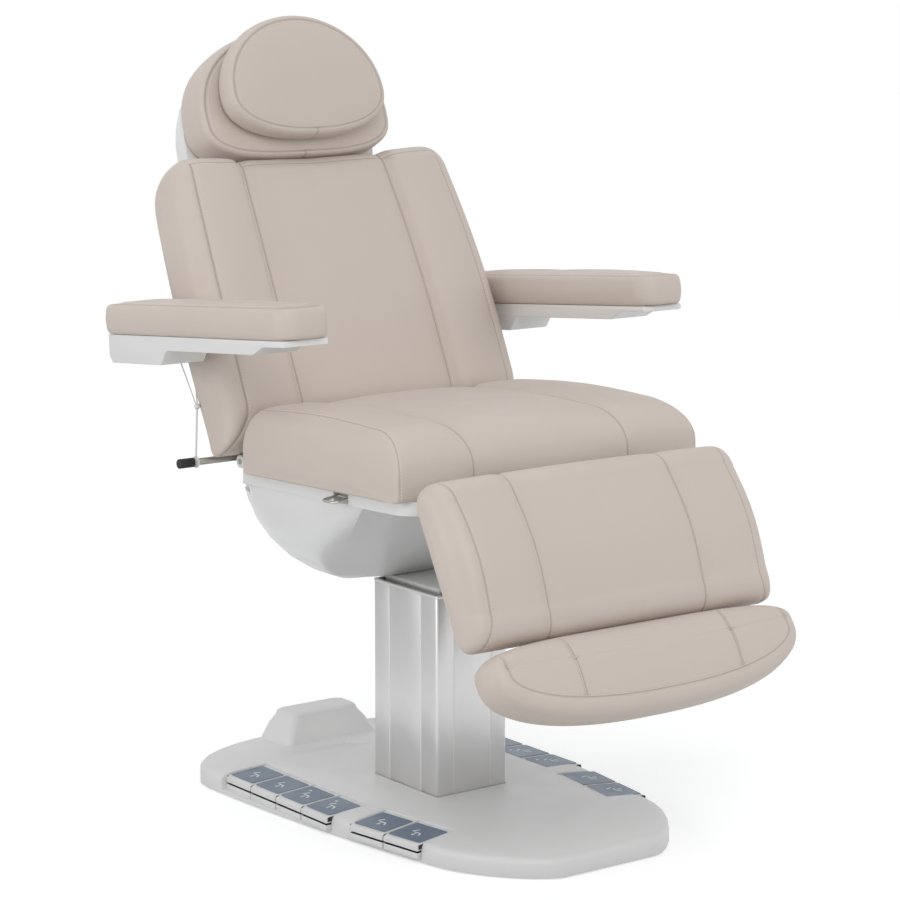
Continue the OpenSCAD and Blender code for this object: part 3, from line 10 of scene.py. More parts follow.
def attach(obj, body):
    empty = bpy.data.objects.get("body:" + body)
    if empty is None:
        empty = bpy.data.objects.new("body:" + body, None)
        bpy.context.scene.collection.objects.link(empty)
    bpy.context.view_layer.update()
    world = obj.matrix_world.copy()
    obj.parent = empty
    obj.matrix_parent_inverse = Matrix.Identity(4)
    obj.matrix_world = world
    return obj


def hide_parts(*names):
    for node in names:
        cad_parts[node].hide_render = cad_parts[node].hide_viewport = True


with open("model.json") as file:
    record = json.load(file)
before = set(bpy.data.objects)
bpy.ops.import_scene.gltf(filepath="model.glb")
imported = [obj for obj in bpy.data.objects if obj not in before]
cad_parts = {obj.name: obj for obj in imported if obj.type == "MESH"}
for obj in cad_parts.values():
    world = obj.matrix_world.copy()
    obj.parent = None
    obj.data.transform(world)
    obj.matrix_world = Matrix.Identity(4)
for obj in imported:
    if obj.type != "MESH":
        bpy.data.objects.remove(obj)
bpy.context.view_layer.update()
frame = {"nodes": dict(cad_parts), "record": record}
scene = bpy.context.scene
bodyOf = {n: b for b, names in frame["record"]["behaviour"]["bodies"].items() for n in names}
slotOf = {s["node"]: s["material_slot"] for s in frame["record"]["subparts"]}
started = time.time()


def stage(words):
    print(f"{words}, {time.time() - started:.0f} s")


def clearSelection():
    for o in bpy.context.selected_objects:
        o.select_set(False)


def pick(obj):
    clearSelection()
    obj.select_set(True)
    bpy.context.view_layer.objects.active = obj


# camera and light
cameraValues = {"place": (-2.8707, -3.9057, 1.446), "down": 9.94, "turn": -36.516, "lens": 120}
clearSelection()
bpy.ops.object.camera_add(
    location=cameraValues["place"],
    rotation=(math.radians(90 - cameraValues["down"]), 0, math.radians(cameraValues["turn"])),
)
camera = bpy.context.object
camera.data.sensor_width = 36
camera.data.lens = cameraValues["lens"]
camera.data.clip_end = 200
scene.camera = camera
scene.view_settings.view_transform = "Standard"

lightValues = {
    "room": {"tint": (0.97, 0.985, 1.0, 1), "glow": 0.56},
    "card": {"place": (-0.6, 0.72, 0.3), "size": 1.0, "aim": 0.3, "glow": 0.62, "cloud": 0.5, "cloudScale": 1.6},
    "key": {"place": (-2.2, -3.6, 3.4), "size": 2.6, "power": 50},
    "side": {"place": (-3.8, 0.6, 1.4), "size": 1.8, "power": 30},
    "fill": {"place": (2.2, -4.2, 2.0), "size": 2.4, "power": 34},
    "top": {"place": (0.3, 0.8, 4.2), "size": 3.0, "power": 19},
    "lampAim": 0.6,
    "floor": {"size": 120, "colour": (0.70, 0.70, 0.70, 1), "from": 0.5, "to": 3.0, "glow": (0.50, 0.62)},
}


# Fills a node's inputs: a number or a colour is set, another node's output is linked.
def fill(tree, node, inputs):
    for key, value in inputs.items():
        if isinstance(value, bpy.types.NodeSocket):
            tree.links.new(value, node.inputs[key])
        else:
            node.inputs[key].default_value = value
    return node


def addNode(tree, kind, inputs=None, operation=None):
    node = tree.nodes.new("ShaderNode" + kind)
    if operation:
        node.operation = operation
    return fill(tree, node, inputs or {})


def mathOf(tree, operation, *values):
    return addNode(tree, "Math", dict(enumerate(values)), operation).outputs[0]


def emptyMaterial(name):
    m = bpy.data.materials.new(name)
    m.use_nodes = True
    m.node_tree.nodes.clear()
    return m, m.node_tree


# One where a camera, mirror or glass ray arrives.
def seenDirectly(tree):
    rays = addNode(tree, "LightPath").outputs
    both = mathOf(tree, "MAXIMUM", rays["Is Camera Ray"], rays["Is Glossy Ray"])
    return mathOf(tree, "MAXIMUM", both, rays["Is Transmission Ray"])


# Turns an object so that one of its axes points at a height over the origin.
def aim(obj, height, axis):
    obj.rotation_euler = (Vector((0, 0, height)) - obj.location).to_track_quat(axis, "Y").to_euler()


def makeRoom():
    v = lightValues["room"]
    world = bpy.data.worlds.new("studioRoom")
    world.use_nodes = True
    scene.world = world
    tree = world.node_tree
    tree.nodes.clear()
    soft = addNode(tree, "Background", {"Color": v["tint"], "Strength": v["glow"]})
    white = addNode(tree, "Background", {"Color": (1, 1, 1, 1)})
    mix = addNode(tree, "MixShader", {0: seenDirectly(tree), 1: soft.outputs[0], 2: white.outputs[0]})
    addNode(tree, "OutputWorld", {"Surface": mix.outputs[0]})


def makeLamp(name):
    v = lightValues[name]
    clearSelection()
    bpy.ops.object.light_add(type="AREA", location=v["place"])
    lamp = bpy.context.object
    lamp.name = name + "Lamp"
    lamp.data.shape = "DISK"
    lamp.data.size = v["size"]
    lamp.data.energy = v["power"]
    aim(lamp, lightValues["lampAim"], "-Z")
    lamp.visible_glossy = name != "fill"


# Glows where it is seen directly, a little more far away. For the light it is plain paint.
def makeFloor():
    v = lightValues["floor"]
    clearSelection()
    bpy.ops.mesh.primitive_plane_add(size=v["size"], location=(0, 0, 0))
    floor = bpy.context.object
    floor.name = "studioFloor"
    m, tree = emptyMaterial("paleFloor")
    where = addNode(tree, "TexCoord").outputs["Object"]
    far = addNode(tree, "VectorMath", {0: where}, "LENGTH").outputs["Value"]
    level = addNode(tree, "MapRange", {"Value": far, "From Min": v["from"], "From Max": v["to"],
                                       "To Min": v["glow"][0], "To Max": v["glow"][1]})
    strength = mathOf(tree, "MULTIPLY", seenDirectly(tree), level.outputs["Result"])
    glow = addNode(tree, "Emission", {"Strength": strength})
    paint = addNode(tree, "BsdfDiffuse", {"Color": v["colour"]})
    both = addNode(tree, "AddShader", {0: paint.outputs[0], 1: glow.outputs[0]})
    addNode(tree, "OutputMaterial", {"Surface": both.outputs[0]})
    floor.data.materials.append(m)


# A cloudy grey card behind, seen only as a reflection in the metal.
def makeCard():
    v = lightValues["card"]
    clearSelection()
    bpy.ops.mesh.primitive_plane_add(size=v["size"], location=v["place"])
    card = bpy.context.object
    card.name = "greyCard"
    aim(card, v["aim"], "Z")
    m, tree = emptyMaterial("greyCardPaint")
    where = addNode(tree, "TexCoord").outputs["Object"]
    cloud = addNode(tree, "TexNoise", {"Vector": where, "Scale": v["cloudScale"]}).outputs["Fac"]
    strength = mathOf(tree, "MULTIPLY_ADD", cloud, v["cloud"], v["glow"] - v["cloud"] / 2)
    glow = addNode(tree, "Emission", {"Strength": strength})
    addNode(tree, "OutputMaterial", {"Surface": glow.outputs[0]})
    card.data.materials.append(m)
    card.visible_camera = card.visible_diffuse = card.visible_shadow = card.visible_transmission = False


makeRoom()
makeCard()
for lampName in ("key", "side", "fill", "top"):
    makeLamp(lampName)
makeFloor()
stage("camera, lamps and floor")


# materials
def newGroup(name, inputs, outputs):
    g = bpy.data.node_groups.new(name, "ShaderNodeTree")
    for label, kind, value in inputs:
        socket = g.interface.new_socket(label, in_out="INPUT", socket_type="NodeSocket" + kind)
        socket.default_value = value
    for label, kind in outputs:
        g.interface.new_socket(label, in_out="OUTPUT", socket_type="NodeSocket" + kind)
    given, out = g.nodes.new("NodeGroupInput"), g.nodes.new("NodeGroupOutput")
    return g, given.outputs, out, addNode(g, "TexCoord").outputs["Object"]


# A colour that drifts a little over the surface, darker in the mask, where shade is painted.
def makeToneGroup():
    g, given, out, where = newGroup("softTone", [
        ("Colour", "Color", (0.5, 0.5, 0.5, 1)), ("Scale", "Float", 6.0), ("Drift", "Float", 0.04),
        ("Mask", "Float", 0.0), ("Depth", "Float", 0.4)], [("Colour", "Color")])
    cloud = addNode(g, "TexNoise", {"Vector": where, "Scale": given["Scale"], "Detail": 3})
    centred = mathOf(g, "SUBTRACT", cloud.outputs["Fac"], 0.5)
    part = mathOf(g, "MULTIPLY_ADD", centred, given["Drift"], 1.0)
    left = mathOf(g, "SUBTRACT", 1.0, mathOf(g, "MULTIPLY", given["Mask"], given["Depth"]))
    total = mathOf(g, "MULTIPLY", part, left)
    scaled = addNode(g, "VectorMath", {0: given["Colour"], "Scale": total}, "SCALE")
    fill(g, out, {"Colour": scaled.outputs[0]})
    return g


# Fine cells over a slow swell, as a height.
def makeGrainGroup():
    g, given, out, where = newGroup("fineGrain", [("Scale", "Float", 700.0), ("Swell", "Float", 0.3)],
                                    [("Height", "Float"), ("Mask", "Float")])
    cells = addNode(g, "TexVoronoi", {"Vector": where, "Scale": given["Scale"]})
    cells.feature = "SMOOTH_F1"
    slow = addNode(g, "TexNoise", {"Vector": where, "Scale": 22, "Detail": 2}).outputs["Fac"]
    height = mathOf(g, "MULTIPLY_ADD", slow, given["Swell"], cells.outputs["Distance"])
    fill(g, out, {"Height": height, "Mask": slow})
    return g


# Long fine scratches along one axis, as a height and a mask.
def makeBrushGroup():
    g, given, out, where = newGroup("brushedLines", [("Across", "Vector", (900.0, 900.0, 6.0))],
                                    [("Height", "Float"), ("Mask", "Float")])
    grown = addNode(g, "VectorMath", {0: where, 1: given["Across"]}, "MULTIPLY").outputs[0]
    lines = addNode(g, "TexNoise", {"Vector": grown, "Scale": 1, "Detail": 4}).outputs["Fac"]
    slow = addNode(g, "TexNoise", {"Vector": where, "Scale": 9}).outputs["Fac"]
    fill(g, out, {"Height": lines, "Mask": mathOf(g, "MULTIPLY_ADD", slow, 0.5, lines)})
    return g


toneGroup, grainGroup, brushGroup = makeToneGroup(), makeGrainGroup(), makeBrushGroup()


def placed(tree, group, inputs):
    node = tree.nodes.new("ShaderNodeGroup")
    node.node_tree = group
    return fill(tree, node, inputs)


# rough holds the roughness at the mask's low and high end.
def finishOf(name, colour, rough, grain=700, swell=0.3, bump=0.1, deep=0.0003, metal=0.0,
             drift=0.05, driftScale=6, brushed=None, crease=0.0, coat=0.0, coatRough=0.2):
    m = bpy.data.materials.new(name)
    m.use_nodes = True
    m.diffuse_color = (*colour, 1)
    tree = m.node_tree
    tone = placed(tree, toneGroup, {"Colour": (*colour, 1), "Scale": driftScale, "Drift": drift})
    # crease sets how much painted shade the crease attribute darkens the colour by, along the seams.
    if crease:
        shadeMark = addNode(tree, "Attribute")
        shadeMark.attribute_name = "crease"
        fill(tree, tone, {"Mask": shadeMark.outputs["Fac"], "Depth": crease})
    if brushed:
        texture = placed(tree, brushGroup, {"Across": brushed})
    else:
        texture = placed(tree, grainGroup, {"Scale": grain, "Swell": swell})
    worn = addNode(tree, "MapRange", {"Value": texture.outputs["Mask"], "From Min": 0.3, "From Max": 0.7,
                                      "To Min": rough[0], "To Max": rough[1]})
    relief = addNode(tree, "Bump", {"Height": texture.outputs["Height"], "Strength": bump, "Distance": deep})
    shader = fill(tree, tree.nodes["Principled BSDF"], {
        "Base Color": tone.outputs["Colour"], "Metallic": metal, "Roughness": worn.outputs["Result"],
        "Normal": relief.outputs["Normal"]})
    if coat:
        fill(tree, shader, {"Coat Weight": coat, "Coat Roughness": coatRough})
    return m


finishes = {
    # The vinyl's crease value is the depth of the painted shade along its seams.
    "vinyl": finishOf("greigeVinyl", (0.620, 0.540, 0.485), (0.46, 0.58), grain=620, swell=1.2,
                      bump=0.16, deep=0.0004, drift=0.05, driftScale=5, crease=0.30),
    "thread": finishOf("sewingThread", (0.76, 0.69, 0.63), (0.6, 0.7), grain=2500, bump=0.3, drift=0.1,
                       driftScale=90),
    "shell_white": finishOf("whiteShell", (0.79, 0.79, 0.78), (0.30, 0.40), grain=1500, swell=0.5,
                            bump=0.05, drift=0.015, driftScale=4, coat=0.15, coatRough=0.25),
    "cover_grey": finishOf("greyCover", (0.74, 0.74, 0.73), (0.42, 0.54), grain=900, swell=0.4,
                           bump=0.12, drift=0.02, driftScale=7),
    "black_rubber": finishOf("blackRubber", (0.018, 0.018, 0.019), (0.55, 0.7), grain=1200, bump=0.2),
    "black_plastic": finishOf("blackPlastic", (0.022, 0.022, 0.024), (0.38, 0.5), grain=1400, bump=0.1),
    "aluminium": finishOf("satinAluminium", (0.70, 0.69, 0.688), (0.26, 0.38), metal=0.82, bump=0.06,
                          deep=0.0002, drift=0.03, driftScale=3, brushed=(700.0, 700.0, 3.0)),
    "steel": finishOf("brushedSteel", (0.50, 0.48, 0.45), (0.22, 0.36), metal=1.0, bump=0.08,
                      deep=0.0001, drift=0.06, driftScale=20, brushed=(8.0, 1500.0, 1500.0)),
    "dark_steel": finishOf("blackPaintedSteel", (0.045, 0.045, 0.048), (0.38, 0.5), grain=1100, bump=0.1,
                           drift=0.2, driftScale=30),
    "plywood": finishOf("plywoodBoard", (0.55, 0.39, 0.23), (0.55, 0.7), bump=0.2, drift=0.35,
                        driftScale=14, brushed=(300.0, 12.0, 300.0)),
    "cord": finishOf("elasticCord", (0.80, 0.80, 0.78), (0.6, 0.7), grain=2200, bump=0.4),
    "bead": finishOf("clearBead", (0.82, 0.83, 0.84), (0.12, 0.2), grain=900, bump=0.02, coat=0.4,
                     coatRough=0.1),
    "label": finishOf("slateLabel", (0.105, 0.150, 0.225), (0.3, 0.42), grain=1600, bump=0.05,
                      drift=0.06, driftScale=30),
    "print": finishOf("whitePrint", (0.78, 0.80, 0.82), (0.4, 0.5), grain=1600, bump=0.03, drift=0.02),
}
for nodeName, obj in frame["nodes"].items():
    obj.data.materials.clear()
    obj.data.materials.append(finishes[slotOf[nodeName]])
stage("materials")


def dressed(obj, finish, body):
    obj.data.materials.clear()
    obj.data.materials.append(finishes[finish])
    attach(obj, body)


# upholstery
# Stitches are pitch apart and lie beside the seam. thread is a stitch's way, size and lift from end to end.
# dark and darkPower give the width and fall-off of the painted shade along a seam.
sewing = {
    "pitch": 0.0054, "long": 0.0042, "thick": 0.00055, "beside": 0.0032, "sides": 6,
    "thread": ((-1, 0.5, -0.6), (-0.6, 1, 0.25), (0.6, 1, 0.25), (1, 0.5, -0.6)),
    "dark": 0.0013, "darkPower": 1.6, "sharp": 0.0016, "padSharp": 0.0014,
}
# The simulation's strength, the grids' steps, and how near the board and the seams a cover is held.
coverValues = {
    "pressure": 4.0, "frames": 20, "quality": 6, "stretch": 30, "shear": 12, "bend": 2,
    "coarse": 0.012, "fine": 0.0055, "faceFine": 0.0045, "held": 0.012, "padHeld": 0.009, "seamHeld": 0.001,
    "faceRun": 0.6, "padClear": 0.006, "padWide": 0.006, "openFade": 0.006,
}
seamSteps = (-0.0056, -0.0036, -0.0022, -0.0014, -0.0007, 0.0007, 0.0014, 0.0022, 0.0036, 0.0056)


def leaning(origin, turn, out=0.0):
    turned = Matrix.Translation(origin) @ Matrix.Rotation(math.radians(turn), 4, "X")
    return turned @ Matrix.Translation((0, 0, out))


def arcPoints(x, y, r, start, steps, sweep=90):
    a = np.radians(start + sweep * np.arange(steps + 1) / steps)
    return np.stack([x + r * np.cos(a), y + r * np.sin(a)], 1)


# The way along a line at each of its points.
def runOf(points):
    return np.concatenate([[0], np.cumsum(np.linalg.norm(np.diff(points, axis=0), axis=1))])


def readAt(at, run, values):
    return np.stack([np.interp(at, run, values[:, k]) for k in range(values.shape[1])], 1)


def unit(a):
    return a / np.maximum(np.linalg.norm(a, axis=-1, keepdims=True), 1e-12)


# A closed outline cut again into equal steps, or at the given shares of its way round.
def evenly(points, count, shares=None):
    loop = np.vstack([points, points[:1]])
    run = runOf(loop)
    return readAt(run[-1] * (np.arange(count) / count if shares is None else shares), run, loop)


# Smooth line through the points, with no overshoot of note. ys may hold several columns.
def curveThrough(at, xs, ys):
    xs, ys, at = np.asarray(xs, float), np.asarray(ys, float), np.asarray(at, float)
    step = np.diff(xs)
    shape = (-1, *[1] * (ys.ndim - 1))
    slope = np.diff(ys, axis=0) / step.reshape(shape)
    tangent = np.concatenate([slope[:1], (slope[1:] + slope[:-1]) / 2, slope[-1:]])
    if ys.ndim == 1:
        tangent[1:-1][slope[1:] * slope[:-1] <= 0] = 0
    i = np.clip(np.searchsorted(xs, at) - 1, 0, len(step) - 1)
    h = step[i].reshape(shape)
    t = ((at - xs[i]) / step[i]).reshape(shape)
    return (ys[i] * (1 + 2 * t) * (1 - t) ** 2 + tangent[i] * h * t * (1 - t) ** 2
            + ys[i + 1] * t * t * (3 - 2 * t) + tangent[i + 1] * h * t * t * (t - 1))


# The section of a block. The seam over its high edge sits two thirds round that roll.
def blockOutline(v, count, shares=None):
    low, high, t, small, rear = v["low"], v["high"], v["thick"], v["small"], v["rearRound"]
    crown = np.linspace(0, 1, 14)[1:-1]
    front, top = low + v["lowReach"], high - v["highRound"]
    roll = arcPoints(0, 0, 1, 90, 12) * [v["lowReach"], v["lowRound"]] + [front, t - v["lowRound"]]
    face = np.stack([top + (front - top) * crown, t + v["crown"] * np.sin(np.pi * crown)], 1)
    under = [arcPoints(low + small, small, small, 180, 4), arcPoints(high - rear, rear, rear, 270, 10)]
    over = arcPoints(top, t - v["highRound"], v["highRound"], 0, 12)
    before = np.vstack([*under, over[:9]])
    whole = np.vstack([*under, over, face, roll])
    v["perimeter"] = runOf(np.vstack([whole, whole[:1]]))[-1]
    v["highShare"] = runOf(before)[-1] / v["perimeter"]
    return evenly(whole, count, shares)


# panel is the part of a block's thickness over which its side closes, drop lets the high edge down,
# cornerEase leads into the rounded corners, and the taper starts at taperFrom.
blockValues = {"panel": 0.62, "panelEnd": 0.98, "least": 0.02, "drop": 0.002, "dipShare": 0.55,
               "dipPast": 0.05, "cornerPower": 1.5, "cornerEase": 0.06, "taperFrom": 0.3}


# Rings across a block. A station is the way from the middle along the cover, in metres.
def blockRings(v, stations, outline):
    b = blockValues
    w, r, l, h = v["half"], v["side"], (v["high"] - v["low"]) / 2, v["thick"]
    mid = (v["low"] + v["high"]) / 2
    flat, turnEnd = w - r, w - r + r * math.pi / 2
    panel = h * b["panel"]
    rings = []
    for s in stations:
        side, a = (-1 if s < 0 else 1), abs(s)
        share, x, inset, down = 1.0, a, 0.0, 0.0
        if a <= flat:
            lift = float(curveThrough([a], *v["across"])[0])
            drop = float(curveThrough([a], [0, v["channel"], flat, flat + b["dipPast"]],
                                      [v["dip"], v["dip"] * b["dipShare"], b["drop"], b["drop"]])[0])
            ease = min(1, max(0, (a - flat + b["cornerEase"]) / b["cornerEase"]))
        else:
            turn = min(1.0, (a - flat) / (turnEnd - flat)) * math.pi / 2
            x = flat + r * math.sin(turn)
            inset, down = v["corner"] * (1 - math.cos(turn)), r * (1 - math.cos(turn))
            lift = v["across"][1][-1] * math.cos(turn)
            drop = b["drop"] + v["small"] * math.sin(turn)
            ease = 1 - min(1, (a - flat) / (turnEnd - flat))
            if a > turnEnd:
                share = max(b["least"], 1 - (a - turnEnd) / panel)
                x = w + v["swell"] * (1 - share ** 2)
        p = outline.copy()
        for shift, ends in ((v["lowCorner"], p[:, 0] - v["low"]), (v["highCorner"], v["high"] - p[:, 0])):
            part = np.clip(1 - ends / v["cornerReach"], 0, 1) ** b["cornerPower"]
            x = x + shift * ease * ease * (3 - 2 * ease) * part
        p[:, 0] = mid + (p[:, 0] - mid) * (1 - inset / l)
        p[:, 1] *= 1 + (lift - down) / h
        upper = np.maximum(0, (p[:, 0] - mid) / l)
        p[:, 0] -= drop * upper
        if share < 1:
            centre = np.array([mid, p[:, 1].max() / 2])
            p = centre + (p - centre) * share
        up = np.maximum(0, (p[:, 0] - v["low"]) / (2 * l) - b["taperFrom"]) / (1 - b["taperFrom"])
        rings.append(np.stack([side * x * (1 - v["taper"] / w * up * up), p[:, 0], p[:, 1]], 1))
    return np.array(rings)


# Even stations from side to side, and closer ones beside each seam.
def blockStations(v, step, beside):
    w, r = v["half"], v["side"]
    turnEnd = w - r + r * math.pi / 2
    end = turnEnd + v["thick"] * blockValues["panel"] * blockValues["panelEnd"]
    near = [s + d for s in v["seams"] for d in (0.0, *beside)]
    marks = sorted({0.0, *v["seams"], turnEnd, end})
    even = [end]
    for a, b in zip(marks, marks[1:]):
        parts = max(1, round((b - a) / step))
        even += [a + (b - a) * k / parts for k in range(parts)]
    clear = max(beside, default=0) + step * 0.2
    keep = [a for a in even if all(abs(a - s) > clear for s in v["seams"])]
    half = sorted(set(np.round(keep + near, 6)))
    return np.array([-a for a in half[::-1] if a > 0] + half)


# A pad's outline: a rounded bar, or an oval whose lower and upper halves have their own powers.
def padOutline(v, count):
    if "round" in v:
        r = v["round"]
        x, low, high = v["half"] - r, v["low"] + r, v["high"] - r
        corners = ((x, low, 270), (x, high, 0), (-x, high, 90), (-x, low, 180))
        return evenly(np.vstack([arcPoints(*place, r, start, 16) for *place, start in corners]), count)
    t = np.radians(np.arange(720) / 2)
    s, c = np.sin(t), np.cos(t)
    n = np.where(s < 0, *v["powers"])
    long = np.where(s < 0, v["mid"] - v["low"], v["high"] - v["mid"])
    x = v["half"] * np.sign(c) * np.abs(c) ** (2 / n)
    y = v["mid"] + long * np.sign(s) * np.abs(s) ** (2 / n)
    return evenly(np.stack([x, y], 1), count)


# Way over a pad from the middle of its underside to the middle of its face: inset, height, share.
def padPath(v):
    r, t, small = v["side"], v["thick"], v["small"]
    way = [(small, 0.0, q) for q in np.linspace(0.03, 1, 12)]
    way += [(small - small * math.sin(a), small - small * math.cos(a), 1) for a in np.radians([30, 60, 90])]
    way += [(-v["swell"] * math.sin(math.pi * q), small + (t - r - small) * q, 1) for q in np.linspace(0.1, 1, 9)]
    way += [(r - r * math.cos(a), t - r + r * math.sin(a), 1) for a in np.radians([15, 30, 45, 60, 75, 90])]
    seamAt = len(way) - 1
    way += [(r, t + v["crown"] * (1 - q ** 2) ** v["crownEase"], q) for q in np.linspace(0.97, 0.02, 40)]
    return np.array(way), seamAt


# Rings of a pad. A station is the way along the cover, in metres.
def padRings(v, stations, outline, path, run):
    facing = np.roll(outline, -1, 0) - np.roll(outline, 1, 0)
    facing = unit(np.stack([facing[:, 1], -facing[:, 0]], 1))
    mid = np.array([0, v["mid"]])
    rings = []
    for s in stations:
        inset, z, share = readAt([s], run, path)[0]
        p = outline - facing * inset
        p = mid + (p - mid) * share
        rings.append(np.stack([p[:, 0], p[:, 1], np.broadcast_to(z, len(p))], 1))
    return np.array(rings)


# Even stations up to a pad's seam, and on from it to the middle of the face.
def padStations(seam, end, under, over, least):
    return np.concatenate([np.linspace(0, seam, max(least, int(seam / under))),
                           np.linspace(seam, end, max(least, int((end - seam) / over)))])


def newPiece(name, points, faces):
    mesh = bpy.data.meshes.new(name)
    mesh.from_pydata(points, [], faces)
    mesh.update()
    obj = bpy.data.objects.new(name, mesh)
    scene.collection.objects.link(obj)
    return obj


def meshFromRings(name, rings):
    m, n = rings.shape[:2]
    ends = [rings[0].mean(0), rings[-1].mean(0)]
    points = np.vstack([rings.reshape(-1, 3), ends])
    faces = [(k * n + i, (k + 1) * n + i, (k + 1) * n + (i + 1) % n, k * n + (i + 1) % n)
             for k in range(m - 1) for i in range(n)]
    faces += [(i, (i + 1) % n, m * n) for i in range(n)]
    faces += [((m - 1) * n + (i + 1) % n, (m - 1) * n + i, m * n + 1) for i in range(n)]
    obj = newPiece(name, points.tolist(), faces)
    work = bmesh.new()
    work.from_mesh(obj.data)
    bmesh.ops.recalc_face_normals(work, faces=work.faces)
    if work.calc_volume(signed=True) < 0:
        bmesh.ops.reverse_faces(work, faces=work.faces)
    work.to_mesh(obj.data)
    work.free()
    return obj


# How far each point of a coarse cover moves when the foam presses it out, by cloth simulation.
def puffed(name, rings, held, cap):
    c = coverValues
    m, n = rings.shape[:2]
    obj = meshFromRings(name + "Cover", rings)
    group = obj.vertex_groups.new(name="sewn")
    group.add([int(i) for i in np.flatnonzero(held.ravel())], 1.0, "REPLACE")
    cloth = obj.modifiers.new("cover", "CLOTH")
    cloth.settings.quality = c["quality"]
    cloth.settings.use_pressure = True
    cloth.settings.uniform_pressure_force = c["pressure"]
    cloth.settings.tension_stiffness = cloth.settings.compression_stiffness = c["stretch"]
    cloth.settings.shear_stiffness = c["shear"]
    cloth.settings.bending_stiffness = c["bend"]
    cloth.settings.vertex_group_mass = "sewn"
    cloth.settings.effector_weights.gravity = 0
    cloth.collision_settings.use_collision = False
    cloth.point_cache.frame_start = 1
    cloth.point_cache.frame_end = c["frames"]
    for f in range(1, c["frames"] + 1):
        scene.frame_set(f)
    shaped = obj.evaluated_get(bpy.context.evaluated_depsgraph_get())
    co = np.zeros(len(shaped.data.vertices) * 3, np.float32)
    shaped.data.vertices.foreach_get("co", co)
    move = co.reshape(-1, 3)[: m * n].reshape(m, n, 3) - rings
    far = np.linalg.norm(move, axis=2, keepdims=True)
    move *= np.minimum(1, cap / np.maximum(far, 1e-9))
    bpy.data.objects.remove(obj)
    scene.frame_set(1)
    return move


# The coarse movement carried over to the fine cover.
def spread(move, coarseS, fineS, coarseN, shares):
    along = curveThrough(fineS, coarseS, move)
    turns = np.arange(-2, coarseN + 3)
    wrapped = along[:, turns % coarseN]
    return np.swapaxes(curveThrough(coarseN * shares, turns, np.swapaxes(wrapped, 0, 1)), 0, 1)


# Unit normals of a grid of rings.
def outwards(rings):
    a = np.gradient(rings, axis=0)
    b = np.roll(rings, -1, 1) - np.roll(rings, 1, 1)
    n = unit(np.cross(b, a))
    centre = rings.reshape(-1, 3).mean(0)
    return n if np.sum(n * (rings - centre)) > 0 else -n


# Soft valley with a crease at its bottom. d is the distance from the seam.
def groove(d, deep, wide, sharp):
    return deep * (0.6 * np.exp(-(d / wide) ** 2) + 0.4 * np.exp(-np.abs(d / sharp) ** 1.3))


# How much painted shade darkens the vinyl at the distance d from a seam.
def seamShade(d):
    return np.exp(-np.abs(d / sewing["dark"]) ** sewing["darkPower"])


# The part of a ring that is shown, in one run, with its normals.
def shownPart(line, normal, shown):
    first = 0 if shown.all() else int(np.flatnonzero(shown & ~np.roll(shown, 1))[0])
    keep = np.roll(shown, -first)
    return np.roll(line, -first, 0)[keep], np.roll(normal, -first, 0)[keep]


# Short threads on a cover, along lines of points and normals.
def stitchesOn(v, lines):
    points, faces = [], []
    long, thick, n = sewing["long"] / 2, sewing["thick"], sewing["sides"]
    for line, normal in lines:
        run = runOf(line)
        at = np.arange(sewing["pitch"] / 2, run[-1], sewing["pitch"])
        ahead = unit(readAt(at + long, run, line) - readAt(at - long, run, line))
        up = readAt(at, run, normal)
        up = unit(up - ahead * np.sum(up * ahead, 1)[:, None])
        for p, f, u, o in zip(readAt(at, run, line), ahead, up, np.cross(ahead, up)):
            start = len(points)
            for q, size, lift in sewing["thread"]:
                for a in [2 * math.pi * k / n for k in range(n)]:
                    rise, wide = lift + size * math.sin(a), size * math.cos(a)
                    points.append(p + f * long * q + u * thick * rise + o * thick * wide)
            last = start + n * (len(sewing["thread"]) - 1)
            for row in range(start, last, n):
                faces += [(row + k, row + (k + 1) % n, row + n + (k + 1) % n, row + n + k) for k in range(n)]
            faces += [tuple(start + k for k in reversed(range(n))), tuple(last + k for k in range(n))]
    obj = newPiece(v["name"] + "Stitches", [tuple(p) for p in points], faces)
    obj.data.transform(v["matrix"])
    pick(obj)
    bpy.ops.object.mode_set(mode="EDIT")
    bpy.ops.mesh.select_all(action="SELECT")
    bpy.ops.mesh.normals_make_consistent(inside=False)
    bpy.ops.object.mode_set(mode="OBJECT")
    bpy.ops.object.shade_smooth()
    dressed(obj, "thread", bodyOf[v["node"]])
    stage(v["name"])


# Seams over a pad: across its face, along its sides above an open edge, and down the middle of its rim.
crossValues = {"reach": 0.012, "wide": 0.007, "beside": 0.0036, "past": 0.003, "start": 0.001, "fade": 0.002,
               "rimFrom": 0.004, "rimPast": 0.0005, "facing": 0.15}


